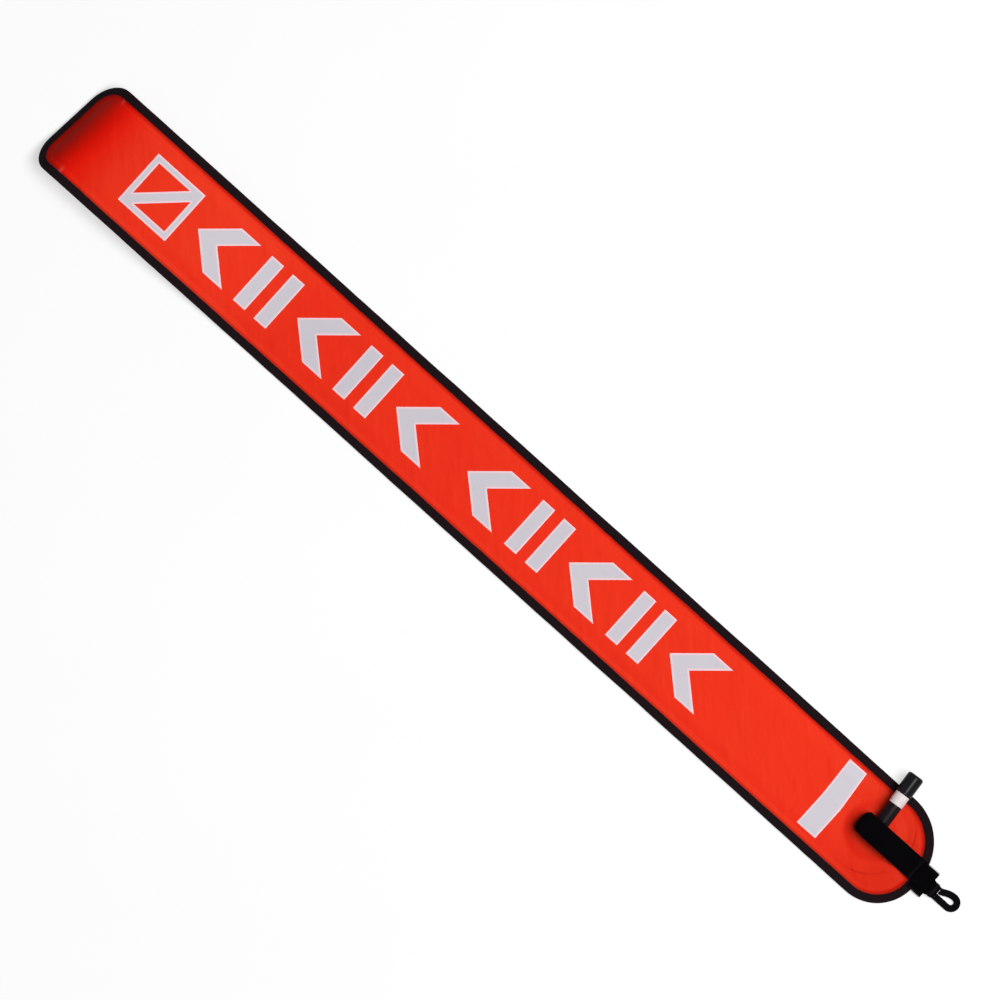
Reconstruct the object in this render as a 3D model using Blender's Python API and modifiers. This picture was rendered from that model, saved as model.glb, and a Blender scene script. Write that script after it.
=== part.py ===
"""Surface marker buoy with an oral inflator, for Blender 4.5.

The buoy lies flat on its back. +Y runs to its top end, +X to its right and +Z up out of its front.
The origin is on the underside of the rear sheet, halfway along the bag. Units are metres.
"""

import functools
import math

import bmesh
import bpy
from mathutils import Matrix, Vector
from mathutils.geometry import interpolate_bezier

MM = 0.001

# Clearances
GAP = 0.3 * MM
SLIDE_GAP = 0.3 * MM
SEAL_GAP = 0.12 * MM

# Bag, as it is cut
BAG_WIDTH = 115 * MM
BAG_LENGTH = 1151 * MM
TOP_LEFT_RADIUS = 25 * MM
TOP_RIGHT_RADIUS = 33 * MM
BOTTOM_STRAIGHT = 9.5 * MM
FABRIC = 0.5 * MM

# Top end, cut at a slant and turned down along it, left by storing the bag rolled
TOP_SLANT = math.radians(5.1)
CURL_ANGLE = math.radians(48)
CURL_BEND = 42 * MM
CURL_STRAIGHT = 18 * MM
CURL_CLEAR = 0.5 * MM
CURL_RISE = 250 * MM
CURL_STEP = 2 * MM
RISE_STRIPS = 7
BEND_STRIPS = 7

# Edge tape
TAPE = 0.9 * MM
TAPE_WIDTH = 8.7 * MM
TAPE_EDGE = 0.8 * MM
RIM_SLOPE = 3.5 * MM

# Inflator's place on the bag
VALVE_X = 6.5 * MM
VALVE_FROM_BOTTOM = 65.8 * MM
BARREL_HEADING = math.radians(5.5)

# Flange and neck
FLANGE_RADIUS = 20 * MM
FLANGE_THICK = 1.8 * MM
FLANGE_EDGE = 0.5 * MM
FLANGE_GROOVES = 4
FLANGE_GROOVE_WIDTH = 3 * MM
FLANGE_GROOVE_DEPTH = 0.6 * MM
NECK_RADIUS = 9.0 * MM
NECK_WALL = 3.5 * MM
NECK_THREAD = 1.5 * MM
BUMP_MARGIN = 1 * MM
BUMP_SLOPE = 7 * MM

# Union nut, gasket and the elbow's collar
GASKET = 0.6 * MM
COLLAR = 1.0 * MM
COLLAR_LEDGE = 2.0 * MM
NUT_WALL = 2.7 * MM
NUT_LIP = 0.9 * MM
NUT_EDGE = 0.6 * MM
NUT_FLUTES = 18
NUT_FLUTE_RADIUS = 1.1 * MM

# Elbow
ELBOW_WALL = 3.0 * MM
ELBOW_REACH = 9.5 * MM
SPIGOT_LENGTH = 10.5 * MM
SPIGOT_WALL = 1.6 * MM
SPIGOT_GROOVE_FROM = 4.5 * MM
SEAL_WIRE = 0.42 * MM
SEAL_GROOVE = 1.4 * MM

# Barrel, with distances measured out from the elbow's upright axis
BARREL_RADIUS = 7.5 * MM
BARREL_WALL = 1.4 * MM
BARREL_END = 61.3 * MM
BARREL_EDGE = 0.4 * MM
SEAT_FROM = 34.0 * MM
SEAT_THICK = 4.0 * MM
SEAT_LAND = 1.3 * MM
BAND_LENGTH = 12.7 * MM
BAND_PROUD = 0.4 * MM
BAND_GROOVE = 0.3 * MM

# Mouthpiece
PUSH = 4.0 * MM
PUSH_SPARE = 0.7 * MM
MOUTH_LENGTH = 22.6 * MM
MOUTH_WALL = 3.5 * MM
MOUTH_TUBE_WALL = 1.0 * MM
MOUTH_ROUND = 2.0 * MM
MOUTH_LIP = 0.7 * MM
SKIRT_WALL = 0.8 * MM
HUB_INSIDE_END = 4.3 * MM
HUB_THICK = 2.2 * MM
HUB_RADIUS = 3.0 * MM
SPOKES = 3
SPOKE_WIDTH = 1.4 * MM

# Stem, poppet and spring
STEM_RADIUS = 1.5 * MM
STEM_HEAD_RADIUS = 2.4 * MM
STEM_HEAD = 1.2 * MM
STEM_SHOULDER_RADIUS = 2.3 * MM
STEM_SHOULDER = 0.8 * MM
STEM_PAST_NUT = 0.8 * MM
POPPET_AIR = 0.9 * MM
POPPET_WASHER = 1.0 * MM
POPPET_PLATE = 1.4 * MM
STEM_NUT_RADIUS = 2.9 * MM
STEM_NUT = 2.0 * MM
SPRING_WIRE = 0.4 * MM
SPRING_TURNS = 7
POINTS_A_TURN = 12

# Strap
STRAP_WIDTH = 25 * MM
STRAP_OFF_VALVE = -0.5 * MM
STRAP = 1.2 * MM
STRAP_CLEAR_OF_NUT = 7.0 * MM
STRAP_TURN = 6.5 * MM
STRAP_LOWER_TURN = 2.2 * MM
STRAP_CORNER = 7 * MM
STRAP_CREST = 9.5 * MM
STRAP_END_FROM_BOTTOM = 9 * MM
STRAP_CLIMB = 8 * MM
STRAP_STEP = 3 * MM

# Tab and gathered strap end
TAB_WIDTH = 31 * MM
TAB_X = 2.4 * MM
TAB_LENGTH = 17.4 * MM
TAB_ON_TAPE = 6 * MM
TAB = 1.2 * MM
ANCHOR_SHOULDER_WIDTH = 21 * MM
ANCHOR_SHOULDER_X = 3.6 * MM
ANCHOR_WAIST_WIDTH = 16.5 * MM
ANCHOR_WAIST_X = 1.5 * MM
ANCHOR_TAIL = 10 * MM
ANCHOR_TAIL_ARCH = 2 * MM
ANCHOR_END_X = 1.8 * MM
ANCHOR_END_Z = 1.2 * MM
ANCHOR_WRAP = 0.7 * MM

# Cord loop, of two turns side by side
CORD = 3.2 * MM
CORD_SPACE = 0.3 * MM
LOOP_WIDTH = 19 * MM
LOOP_LENGTH = 26.5 * MM
LOOP_SINK = 14 * MM
LOOP_LEAVES = 0.16
LOOP_ARRIVES = 0.6

ROUND_STEPS = 32
SMALL_STEPS = 24

# Heights of the layers, from the underside up
RIM_REAR_Z = TAPE + GAP
RIM_FRONT_Z = RIM_REAR_Z + FABRIC + GAP
TAPE_TOP_Z = RIM_FRONT_Z + FABRIC + GAP + TAPE
FLAT_FRONT_Z = FABRIC + GAP
FLAT_TOP_Z = FLAT_FRONT_Z + FABRIC
FLANGE_Z = FABRIC + GAP
BUMP_FRONT_Z = FLANGE_Z + FLANGE_THICK + GAP
BUMP_TOP_Z = BUMP_FRONT_Z + FABRIC
NUT_Z = BUMP_TOP_Z + GAP + STRAP + GAP
NECK_TOP_Z = NUT_Z + NECK_THREAD
GASKET_Z = NECK_TOP_Z + GAP
COLLAR_Z = GASKET_Z + GASKET + GAP
COLLAR_TOP_Z = COLLAR_Z + COLLAR
NUT_TOP_Z = COLLAR_TOP_Z + GAP + NUT_LIP
AXIS_Z = NUT_TOP_Z + GAP + BARREL_RADIUS
STRAP_OVER_Z = AXIS_Z + BARREL_RADIUS + GAP

# Radii that fit to each other
NECK_BORE = NECK_RADIUS - NECK_WALL
ELBOW_LEG_RADIUS = NECK_RADIUS - COLLAR_LEDGE
NUT_RADIUS = NECK_RADIUS + GAP + NUT_WALL
BUMP_RADIUS = FLANGE_RADIUS + BUMP_MARGIN
BARREL_BORE = BARREL_RADIUS - BARREL_WALL
SPIGOT_RADIUS = BARREL_BORE - GAP
AIR_RADIUS = SPIGOT_RADIUS - SPIGOT_WALL
BAND_RADIUS = BARREL_RADIUS + BAND_PROUD
SKIRT_BORE = BAND_RADIUS + SLIDE_GAP
MOUTH_RADIUS = SKIRT_BORE + SKIRT_WALL
MOUTH_TUBE_RADIUS = BARREL_BORE - SLIDE_GAP
MOUTH_BORE = MOUTH_TUBE_RADIUS - MOUTH_TUBE_WALL
POPPET_RADIUS = BARREL_BORE - POPPET_AIR
SEAT_HOLE = POPPET_RADIUS - SEAT_LAND
STEM_HOLE = STEM_RADIUS + GAP

# Places along the barrel
BARREL_FROM = ELBOW_REACH + GAP
SEAT_TO = SEAT_FROM + SEAT_THICK
MOUTH_END = BARREL_END + PUSH + PUSH_SPARE + MOUTH_WALL
MOUTH_FROM = MOUTH_END - MOUTH_LENGTH
BAND_TO = MOUTH_FROM - 2 * GAP
BAND_FROM = BAND_TO - BAND_LENGTH
HUB_FROM = BARREL_END - HUB_INSIDE_END
HUB_TO = HUB_FROM + HUB_THICK
SEAL_FROM = HUB_TO - SEAL_GROOVE / 2
WASHER_FROM = SEAT_FROM - GAP - POPPET_WASHER
PLATE_FROM = WASHER_FROM - GAP - POPPET_PLATE
STEM_NUT_FROM = PLATE_FROM - GAP - STEM_NUT
STEM_FROM = STEM_NUT_FROM - STEM_PAST_NUT

# Places on the bag
BAG_BOTTOM_Y = -BAG_LENGTH / 2
BAG_TOP_Y = BAG_LENGTH / 2
CREST_Y = BAG_TOP_Y - CURL_BEND - CURL_STRAIGHT
VALVE_Y = BAG_BOTTOM_Y + VALVE_FROM_BOTTOM
STRAP_TOP_Y = VALVE_Y + NUT_RADIUS + STRAP_CLEAR_OF_NUT + STRAP
STRAP_CREST_Y = VALVE_Y - STRAP_CREST
STRAP_X = VALVE_X + STRAP_OFF_VALVE
STRAP_SIDE_X = abs(STRAP_X) + STRAP_WIDTH / 2
TAPE_INNER_Y = math.sqrt((BAG_WIDTH / 2 - TAPE_WIDTH) ** 2 - STRAP_SIDE_X**2)
STRAP_CLIMBED_Y = BAG_BOTTOM_Y + BAG_WIDTH / 2 - TAPE_INNER_Y + 3 * GAP
STRAP_FLAT_Y = STRAP_CLIMBED_Y + STRAP_CLIMB
STRAP_END_Y = BAG_BOTTOM_Y + STRAP_END_FROM_BOTTOM
TAB_TOP_Y = BAG_BOTTOM_Y + TAB_ON_TAPE
TAB_BOTTOM_Y = TAB_TOP_Y - TAB_LENGTH
ANCHOR_END_Y = TAB_BOTTOM_Y - ANCHOR_TAIL
ANCHOR_END_WIDTH = 4 * (CORD + GAP)
ANCHOR_END_THICK = CORD + 2 * ANCHOR_WRAP
LOOP_START_Y = ANCHOR_END_Y - 2 * GAP
LOOP_BOTTOM_Y = ANCHOR_END_Y - LOOP_LENGTH
LOOP_LEFT_X = ANCHOR_END_X - ANCHOR_END_WIDTH / 2
LOOP_RIGHT_X = LOOP_LEFT_X + LOOP_WIDTH

PARTS = "surface_marker_buoy"
CUTTERS = "cutters"


def clear_scene():
    for old in list(bpy.data.objects):
        bpy.data.objects.remove(old, do_unlink=True)


def collection(name):
    found = bpy.data.collections.get(name)
    if found is None:
        found = bpy.data.collections.new(name)
        bpy.context.scene.collection.children.link(found)
    return found


def material(name, colour, roughness, metallic=0.0):
    made = bpy.data.materials.new(name)
    made.use_nodes = True
    shader = made.node_tree.nodes["Principled BSDF"]
    shader.inputs["Base Color"].default_value = (*colour, 1.0)
    shader.inputs["Roughness"].default_value = roughness
    shader.inputs["Metallic"].default_value = metallic
    made.diffuse_color = (*colour, 1.0)
    return made


def add_object(name, mesh, look=None, parent=None, where=(0, 0, 0), cutter=False):
    made = bpy.data.objects.new(name, mesh)
    collection(CUTTERS if cutter else PARTS).objects.link(made)
    made.parent = parent
    made.location = where
    if cutter:
        made.hide_render = True
        made.display_type = "WIRE"
    if look is not None:
        made.data.materials.append(look)
    return made


def add_empty(name, where, parent=None, turn=(0, 0, 0)):
    made = bpy.data.objects.new(name, None)
    collection(PARTS).objects.link(made)
    made.parent = parent
    made.location = where
    made.rotation_euler = turn
    made.empty_display_size = 0.01
    return made


def mesh_from(bm, name):
    mesh = bpy.data.meshes.new(name)
    bm.to_mesh(mesh)
    bm.free()
    return mesh


def cut(piece, cutter, operation="DIFFERENCE"):
    step = piece.modifiers.new(cutter.name, "BOOLEAN")
    step.operation = operation
    step.solver = "EXACT"
    step.object = cutter


def thicken(piece, thickness, offset=1.0):
    step = piece.modifiers.new("thickness", "SOLIDIFY")
    step.thickness = thickness
    step.offset = offset
    step.use_even_offset = True
    return step


def turned(name, profile, look=None, parent=None, steps=ROUND_STEPS, cutter=False, closed=True):
    """A turned shape about its own Z, from (radius, height) points down its outer side."""
    bm = bmesh.new()
    points = [bm.verts.new((radius, 0, height)) for radius, height in profile]
    for first, second in zip(points, points[1:]):
        bm.edges.new((first, second))
    if closed:
        bm.edges.new((points[-1], points[0]))
    piece = add_object(name, mesh_from(bm, name), look, parent, cutter=cutter)
    step = piece.modifiers.new("turn", "SCREW")
    step.axis = "Z"
    step.angle = 2 * math.pi
    step.steps = steps
    step.render_steps = steps
    step.use_merge_vertices = True
    step.merge_threshold = 0.00001
    step.use_smooth_shade = True
    return piece


def ease(share):
    share = min(1.0, max(0.0, share))
    return share * share * (3 - 2 * share)


def arc(centre, radius, start, end, count):
    """Points on an arc in a plane, from one angle in degrees to another."""
    points = []
    for i in range(count + 1):
        angle = math.radians(start + (end - start) * i / count)
        points.append((centre[0] + radius * math.cos(angle), centre[1] + radius * math.sin(angle)))
    return points


def prism(name, outline, low, high, look=None, cutter=False):
    """A flat outline of (x, y) points, filled and given its thickness."""
    curve = bpy.data.curves.new(name, "CURVE")
    curve.dimensions = "2D"
    curve.fill_mode = "BOTH"
    curve.extrude = (high - low) / 2
    spline = curve.splines.new("POLY")
    spline.points.add(len(outline) - 1)
    spline.use_cyclic_u = True
    for point, (x, y) in zip(spline.points, outline):
        point.co = (x, y, 0, 1)
    return as_mesh(add_object(name, curve, where=(0, 0, (low + high) / 2)), look, cutter)


def as_mesh(drawn, look=None, cutter=False):
    """The curve object's solid as a welded mesh, in place of the curve."""
    bpy.context.view_layer.update()
    name = drawn.name
    place = drawn.matrix_world.copy()
    mesh = bpy.data.meshes.new_from_object(drawn.evaluated_get(bpy.context.evaluated_depsgraph_get()))
    bpy.data.objects.remove(drawn, do_unlink=True)
    bm = bmesh.new()
    bm.from_mesh(mesh)
    bmesh.ops.remove_doubles(bm, verts=bm.verts, dist=0.000005)
    bmesh.ops.recalc_face_normals(bm, faces=bm.faces)
    bm.to_mesh(mesh)
    bm.free()
    mesh.materials.clear()
    made = add_object(name, mesh, look, cutter=cutter)
    made.matrix_world = place
    return made


# The bag is drawn flat, and its top end is then turned down along a curve


@functools.cache
def fold_height():
    """Height of the crest, from which the fold comes down to the ground."""
    steps = round(CURL_BEND / CURL_STEP)
    bend = sum(math.sin(CURL_ANGLE * ease((i + 0.5) / steps)) for i in range(steps)) / steps
    return CURL_BEND * bend + CURL_STRAIGHT * math.sin(CURL_ANGLE) + CURL_CLEAR


def curl_slope(along):
    """Slope of the bag's underside at a distance along it: up to the crest, then down in the fold."""
    if along > CREST_Y:
        return -CURL_ANGLE * ease((along - CREST_Y) / CURL_BEND)
    share = max(0.0, 1 - (CREST_Y - along) / CURL_RISE)
    return math.asin(6 * share * (1 - share) * fold_height() / CURL_RISE)


def curl_place(along):
    """Y, Z and the slope of the bag's underside, at a distance along it."""
    start = CREST_Y - CURL_RISE
    if along <= start:
        return along, 0.0, 0.0
    steps = math.ceil((along - start) / CURL_STEP)
    size = (along - start) / steps
    y = start
    z = 0.0
    for i in range(steps):
        slope = curl_slope(start + (i + 0.5) * size)
        y += size * math.cos(slope)
        z += size * math.sin(slope)
    return y, z, curl_slope(along)


def curled(mesh_builder):
    """Cuts the flat bag piece into strips across its top end's slant, and turns that end down."""
    crest = Vector((0, CREST_Y, 0))
    ahead = Vector((math.sin(TOP_SLANT), math.cos(TOP_SLANT), 0))
    stations = [-CURL_RISE * i / RISE_STRIPS for i in range(RISE_STRIPS + 1)]
    stations += [CURL_BEND * i / BEND_STRIPS for i in range(1, BEND_STRIPS + 1)]
    for distance in stations:
        bmesh.ops.bisect_plane(
            mesh_builder,
            geom=mesh_builder.verts[:] + mesh_builder.edges[:] + mesh_builder.faces[:],
            dist=0.000001,
            plane_co=crest + distance * ahead,
            plane_no=ahead,
        )
    for vertex in mesh_builder.verts:
        distance = (vertex.co - crest).dot(ahead)
        y, z, slope = curl_place(CREST_Y + distance)
        above = vertex.co.z
        vertex.co += (y - CREST_Y - distance - above * math.sin(slope)) * ahead
        vertex.co.z = z + above * math.cos(slope)


def top_corner(side, radius):
    """Centre of the rounded corner between the bag's side, -1 left or 1 right, and its slanted top end."""
    x = side * (BAG_WIDTH / 2 - radius)
    return x, BAG_TOP_Y - (radius + x * math.sin(TOP_SLANT)) / math.cos(TOP_SLANT)


def bag_outline(inset):
    """Points round the bag, anticlockwise from its left side, at a distance in from its edge."""
    half = BAG_WIDTH / 2
    left = half - BOTTOM_STRAIGHT
    top = 90 - math.degrees(TOP_SLANT)
    return (
        arc((-BOTTOM_STRAIGHT, BAG_BOTTOM_Y + left), left - inset, 180, 270, 13)
        + arc((0, BAG_BOTTOM_Y + half), half - inset, 270, 360, 13)
        + arc(top_corner(1, TOP_RIGHT_RADIUS), TOP_RIGHT_RADIUS - inset, 0, top, 6)
        + arc(top_corner(-1, TOP_LEFT_RADIUS), TOP_LEFT_RADIUS - inset, top, 180, 6)
    )


def add_ring(bm, outline, z):
    return [bm.verts.new((x, y, z)) for x, y in outline]


def join_rings(bm, outer, inner):
    """Faces between two rings of the same number of points."""
    count = len(outer)
    for i in range(count):
        j = (i + 1) % count
        bm.faces.new((outer[i], outer[j], inner[j], inner[i]))


def ring_edges(bm, ring):
    edges = []
    for first, second in zip(ring, ring[1:] + ring[:1]):
        edges.append(bm.edges.get((first, second)) or bm.edges.new((first, second)))
    return edges


def panel(name, rim_z, flat_z, look, bump=None):
    """One sheet of the bag: raised at the rim, where the tape holds it, and round the flange."""
    bm = bmesh.new()
    rim = add_ring(bm, bag_outline(TAPE + GAP), rim_z)
    inner_rim = add_ring(bm, bag_outline(TAPE_WIDTH + GAP), rim_z)
    foot = add_ring(bm, bag_outline(TAPE_WIDTH + GAP + RIM_SLOPE), flat_z)
    join_rings(bm, rim, inner_rim)
    join_rings(bm, inner_rim, foot)
    edges = ring_edges(bm, foot)
    if bump is not None:
        rings = [add_ring(bm, arc((VALVE_X, VALVE_Y), radius, 0, 350, 35), z) for radius, z in bump]
        edges += ring_edges(bm, rings[0])
        for outer, inner in zip(rings, rings[1:]):
            join_rings(bm, outer, inner)
    bmesh.ops.triangle_fill(bm, use_beauty=True, edges=edges, normal=(0, 0, 1))
    bmesh.ops.recalc_face_normals(bm, faces=bm.faces)
    if sum(face.normal.z * face.calc_area() for face in bm.faces) < 0:
        bmesh.ops.reverse_faces(bm, faces=bm.faces)
    curled(bm)
    piece = add_object(name, mesh_from(bm, name), look)
    thicken(piece, FABRIC)
    return piece


def build_bag(fabric, tape):
    panel("rear_panel", RIM_REAR_Z, 0.0, fabric)
    bump = (
        (BUMP_RADIUS + BUMP_SLOPE, FLAT_FRONT_Z),
        (BUMP_RADIUS, BUMP_FRONT_Z),
        (NECK_RADIUS + GAP, BUMP_FRONT_Z),
    )
    panel("front_panel", RIM_FRONT_Z, FLAT_FRONT_Z, fabric, bump)

    bm = bmesh.new()
    path = (
        (TAPE_WIDTH, 0.0),
        (TAPE_EDGE, 0.0),
        (0.0, TAPE_EDGE),
        (0.0, TAPE_TOP_Z - TAPE_EDGE),
        (TAPE_EDGE, TAPE_TOP_Z),
        (TAPE_WIDTH, TAPE_TOP_Z),
    )
    rings = [add_ring(bm, bag_outline(inset), z) for inset, z in path]
    for first, second in zip(rings, rings[1:]):
        join_rings(bm, first, second)
    curled(bm)
    binding = add_object("edge_binding", mesh_from(bm, "edge_binding"), tape)
    thicken(binding, TAPE, offset=-1.0)


def build_flange(plastic, rubber):
    axis = add_empty("valve_axis", (VALVE_X, VALVE_Y, 0))
    flange = turned(
        "valve_flange",
        (
            (NECK_RADIUS, NECK_TOP_Z),
            (NECK_RADIUS, FLANGE_Z + FLANGE_THICK),
            (FLANGE_RADIUS - FLANGE_EDGE, FLANGE_Z + FLANGE_THICK),
            (FLANGE_RADIUS, FLANGE_Z + FLANGE_THICK - FLANGE_EDGE),
            (FLANGE_RADIUS, FLANGE_Z),
            (NECK_BORE, FLANGE_Z),
            (NECK_BORE, NECK_TOP_Z),
        ),
        plastic,
        axis,
    )
    bm = bmesh.new()
    reach = FLANGE_RADIUS + BUMP_MARGIN
    length = reach - NECK_BORE + FLANGE_EDGE
    for i in range(FLANGE_GROOVES):
        turn = Matrix.Rotation(2 * math.pi * i / FLANGE_GROOVES, 4, "Z")
        place = turn @ Matrix.Translation((reach - length / 2, 0, FLANGE_Z))
        size = Matrix.Diagonal((length, FLANGE_GROOVE_WIDTH, 2 * FLANGE_GROOVE_DEPTH, 1))
        bmesh.ops.create_cube(bm, size=1, matrix=place @ size)
    cut(flange, add_object("flange_grooves", mesh_from(bm, "flange_grooves"), parent=axis, cutter=True))

    turned(
        "neck_gasket",
        (
            (NECK_RADIUS - GAP, GASKET_Z + GASKET),
            (NECK_RADIUS - GAP, GASKET_Z),
            (NECK_BORE + GAP, GASKET_Z),
            (NECK_BORE + GAP, GASKET_Z + GASKET),
        ),
        rubber,
        axis,
    )
    build_nut(axis, plastic)
    return axis


def build_nut(axis, plastic):
    nut = turned(
        "union_nut",
        (
            (NUT_RADIUS - NUT_EDGE, NUT_TOP_Z),
            (NUT_RADIUS, NUT_TOP_Z - NUT_EDGE),
            (NUT_RADIUS, NUT_Z + NUT_EDGE),
            (NUT_RADIUS - NUT_EDGE, NUT_Z),
            (NECK_RADIUS + GAP, NUT_Z),
            (NECK_RADIUS + GAP, COLLAR_TOP_Z + GAP),
            (ELBOW_LEG_RADIUS + GAP, COLLAR_TOP_Z + GAP),
            (ELBOW_LEG_RADIUS + GAP, NUT_TOP_Z),
        ),
        plastic,
        axis,
        steps=3 * NUT_FLUTES,
    )
    bm = bmesh.new()
    for i in range(NUT_FLUTES):
        turn = Matrix.Rotation(2 * math.pi * i / NUT_FLUTES, 4, "Z")
        place = turn @ Matrix.Translation((NUT_RADIUS + 0.4 * NUT_FLUTE_RADIUS, 0, (NUT_Z + NUT_TOP_Z) / 2))
        bmesh.ops.create_cone(
            bm,
            cap_ends=True,
            segments=8,
            radius1=NUT_FLUTE_RADIUS,
            radius2=NUT_FLUTE_RADIUS,
            depth=2 * (NUT_TOP_Z - NUT_Z),
            matrix=place,
        )
    cut(nut, add_object("nut_flutes", mesh_from(bm, "nut_flutes"), parent=axis, cutter=True))


def build_elbow(axis, along, plastic, rubber):
    """The elbow's collar and upright leg, its ball-ended arm with the spigot, and its air way."""
    elbow = turned(
        "swivel_elbow",
        (
            (0, AXIS_Z),
            (ELBOW_LEG_RADIUS, AXIS_Z),
            (ELBOW_LEG_RADIUS, COLLAR_TOP_Z),
            (NECK_RADIUS, COLLAR_TOP_Z),
            (NECK_RADIUS, COLLAR_Z),
            (0, COLLAR_Z),
        ),
        plastic,
        axis,
        closed=False,
    )
    spigot_end = ELBOW_REACH + SPIGOT_LENGTH
    groove = (ELBOW_REACH + SPIGOT_GROOVE_FROM, ELBOW_REACH + SPIGOT_GROOVE_FROM + SEAL_GROOVE)
    groove_radius = BARREL_BORE - 2 * SEAL_WIRE - 2 * SEAL_GAP
    chamfer = SPIGOT_WALL / 2
    ball = [(x, z) for z, x in arc((0, 0), BARREL_RADIUS, 90, 180, 7)]
    arm = turned(
        "elbow_arm",
        [
            (0, spigot_end),
            (SPIGOT_RADIUS - chamfer, spigot_end),
            (SPIGOT_RADIUS, spigot_end - 1.5 * chamfer),
            (SPIGOT_RADIUS, groove[1]),
            (groove_radius, groove[1]),
            (groove_radius, groove[0]),
            (SPIGOT_RADIUS, groove[0]),
            (SPIGOT_RADIUS, ELBOW_REACH),
            (BARREL_RADIUS - BARREL_EDGE, ELBOW_REACH),
            (BARREL_RADIUS, ELBOW_REACH - BARREL_EDGE),
        ]
        + ball[:-1]
        + [(0, -BARREL_RADIUS)],
        parent=along,
        cutter=True,
        closed=False,
    )
    arm_air = turned(
        "arm_air",
        [(0, spigot_end + GAP), (AIR_RADIUS, spigot_end + GAP)]
        + [(x, z) for z, x in arc((0, 0), AIR_RADIUS, 90, 180, 6)][:-1]
        + [(0, -AIR_RADIUS)],
        parent=along,
        cutter=True,
        closed=False,
        steps=SMALL_STEPS,
    )
    leg_bore = ELBOW_LEG_RADIUS - ELBOW_WALL
    leg_air = turned(
        "leg_air",
        (
            (0, AXIS_Z),
            (leg_bore, AXIS_Z),
            (leg_bore, COLLAR_Z - GAP),
            (0, COLLAR_Z - GAP),
        ),
        parent=axis,
        cutter=True,
        closed=False,
        steps=SMALL_STEPS,
    )
    cut(elbow, arm, "UNION")
    cut(elbow, arm_air)
    cut(elbow, leg_air)
    ring("spigot_seal", (groove_radius + BARREL_BORE) / 2, sum(groove) / 2, rubber, along)


def ring(name, radius, at, look, parent):
    """An O-ring about the parent's Z."""
    section = arc((radius, at), SEAL_WIRE, 90, -225, 7)
    return turned(name, section, look, parent, steps=SMALL_STEPS)


def build_barrel(along, plastic, white, rubber):
    edge = BARREL_EDGE
    groove = BARREL_RADIUS - BAND_GROOVE
    seal_groove = BARREL_BORE + 2 * SEAL_WIRE
    turned(
        "barrel",
        (
            (BARREL_RADIUS - edge, BARREL_END),
            (BARREL_RADIUS, BARREL_END - edge),
            (BARREL_RADIUS, BAND_TO + GAP),
            (groove, BAND_TO + GAP),
            (groove, BAND_FROM - GAP),
            (BARREL_RADIUS, BAND_FROM - GAP),
            (BARREL_RADIUS, BARREL_FROM + edge),
            (BARREL_RADIUS - edge, BARREL_FROM),
            (BARREL_BORE + edge, BARREL_FROM),
            (BARREL_BORE, BARREL_FROM + 2 * edge),
            (BARREL_BORE, SEAT_FROM + edge),
            (SEAT_HOLE + SEAT_LAND, SEAT_FROM + edge),
            (SEAT_HOLE + SEAT_LAND / 2, SEAT_FROM),
            (SEAT_HOLE, SEAT_FROM),
            (SEAT_HOLE, SEAT_TO),
            (BARREL_BORE, SEAT_TO),
            (BARREL_BORE, SEAL_FROM),
            (seal_groove, SEAL_FROM),
            (seal_groove, SEAL_FROM + SEAL_GROOVE),
            (BARREL_BORE, SEAL_FROM + SEAL_GROOVE),
            (BARREL_BORE, BARREL_END),
        ),
        plastic,
        along,
    )
    seal_radius = (MOUTH_TUBE_RADIUS + seal_groove + SEAL_GAP) / 2
    ring("mouthpiece_seal", seal_radius, SEAL_FROM + SEAL_GROOVE / 2, rubber, along)
    sleeve_edge = BAND_PROUD / 2
    turned(
        "band_sleeve",
        (
            (BAND_RADIUS - sleeve_edge, BAND_TO),
            (BAND_RADIUS, BAND_TO - sleeve_edge),
            (BAND_RADIUS, BAND_FROM + sleeve_edge),
            (BAND_RADIUS - sleeve_edge, BAND_FROM),
            (groove + SEAL_GAP, BAND_FROM),
            (groove + SEAL_GAP, BAND_TO),
        ),
        white,
        along,
    )


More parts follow.
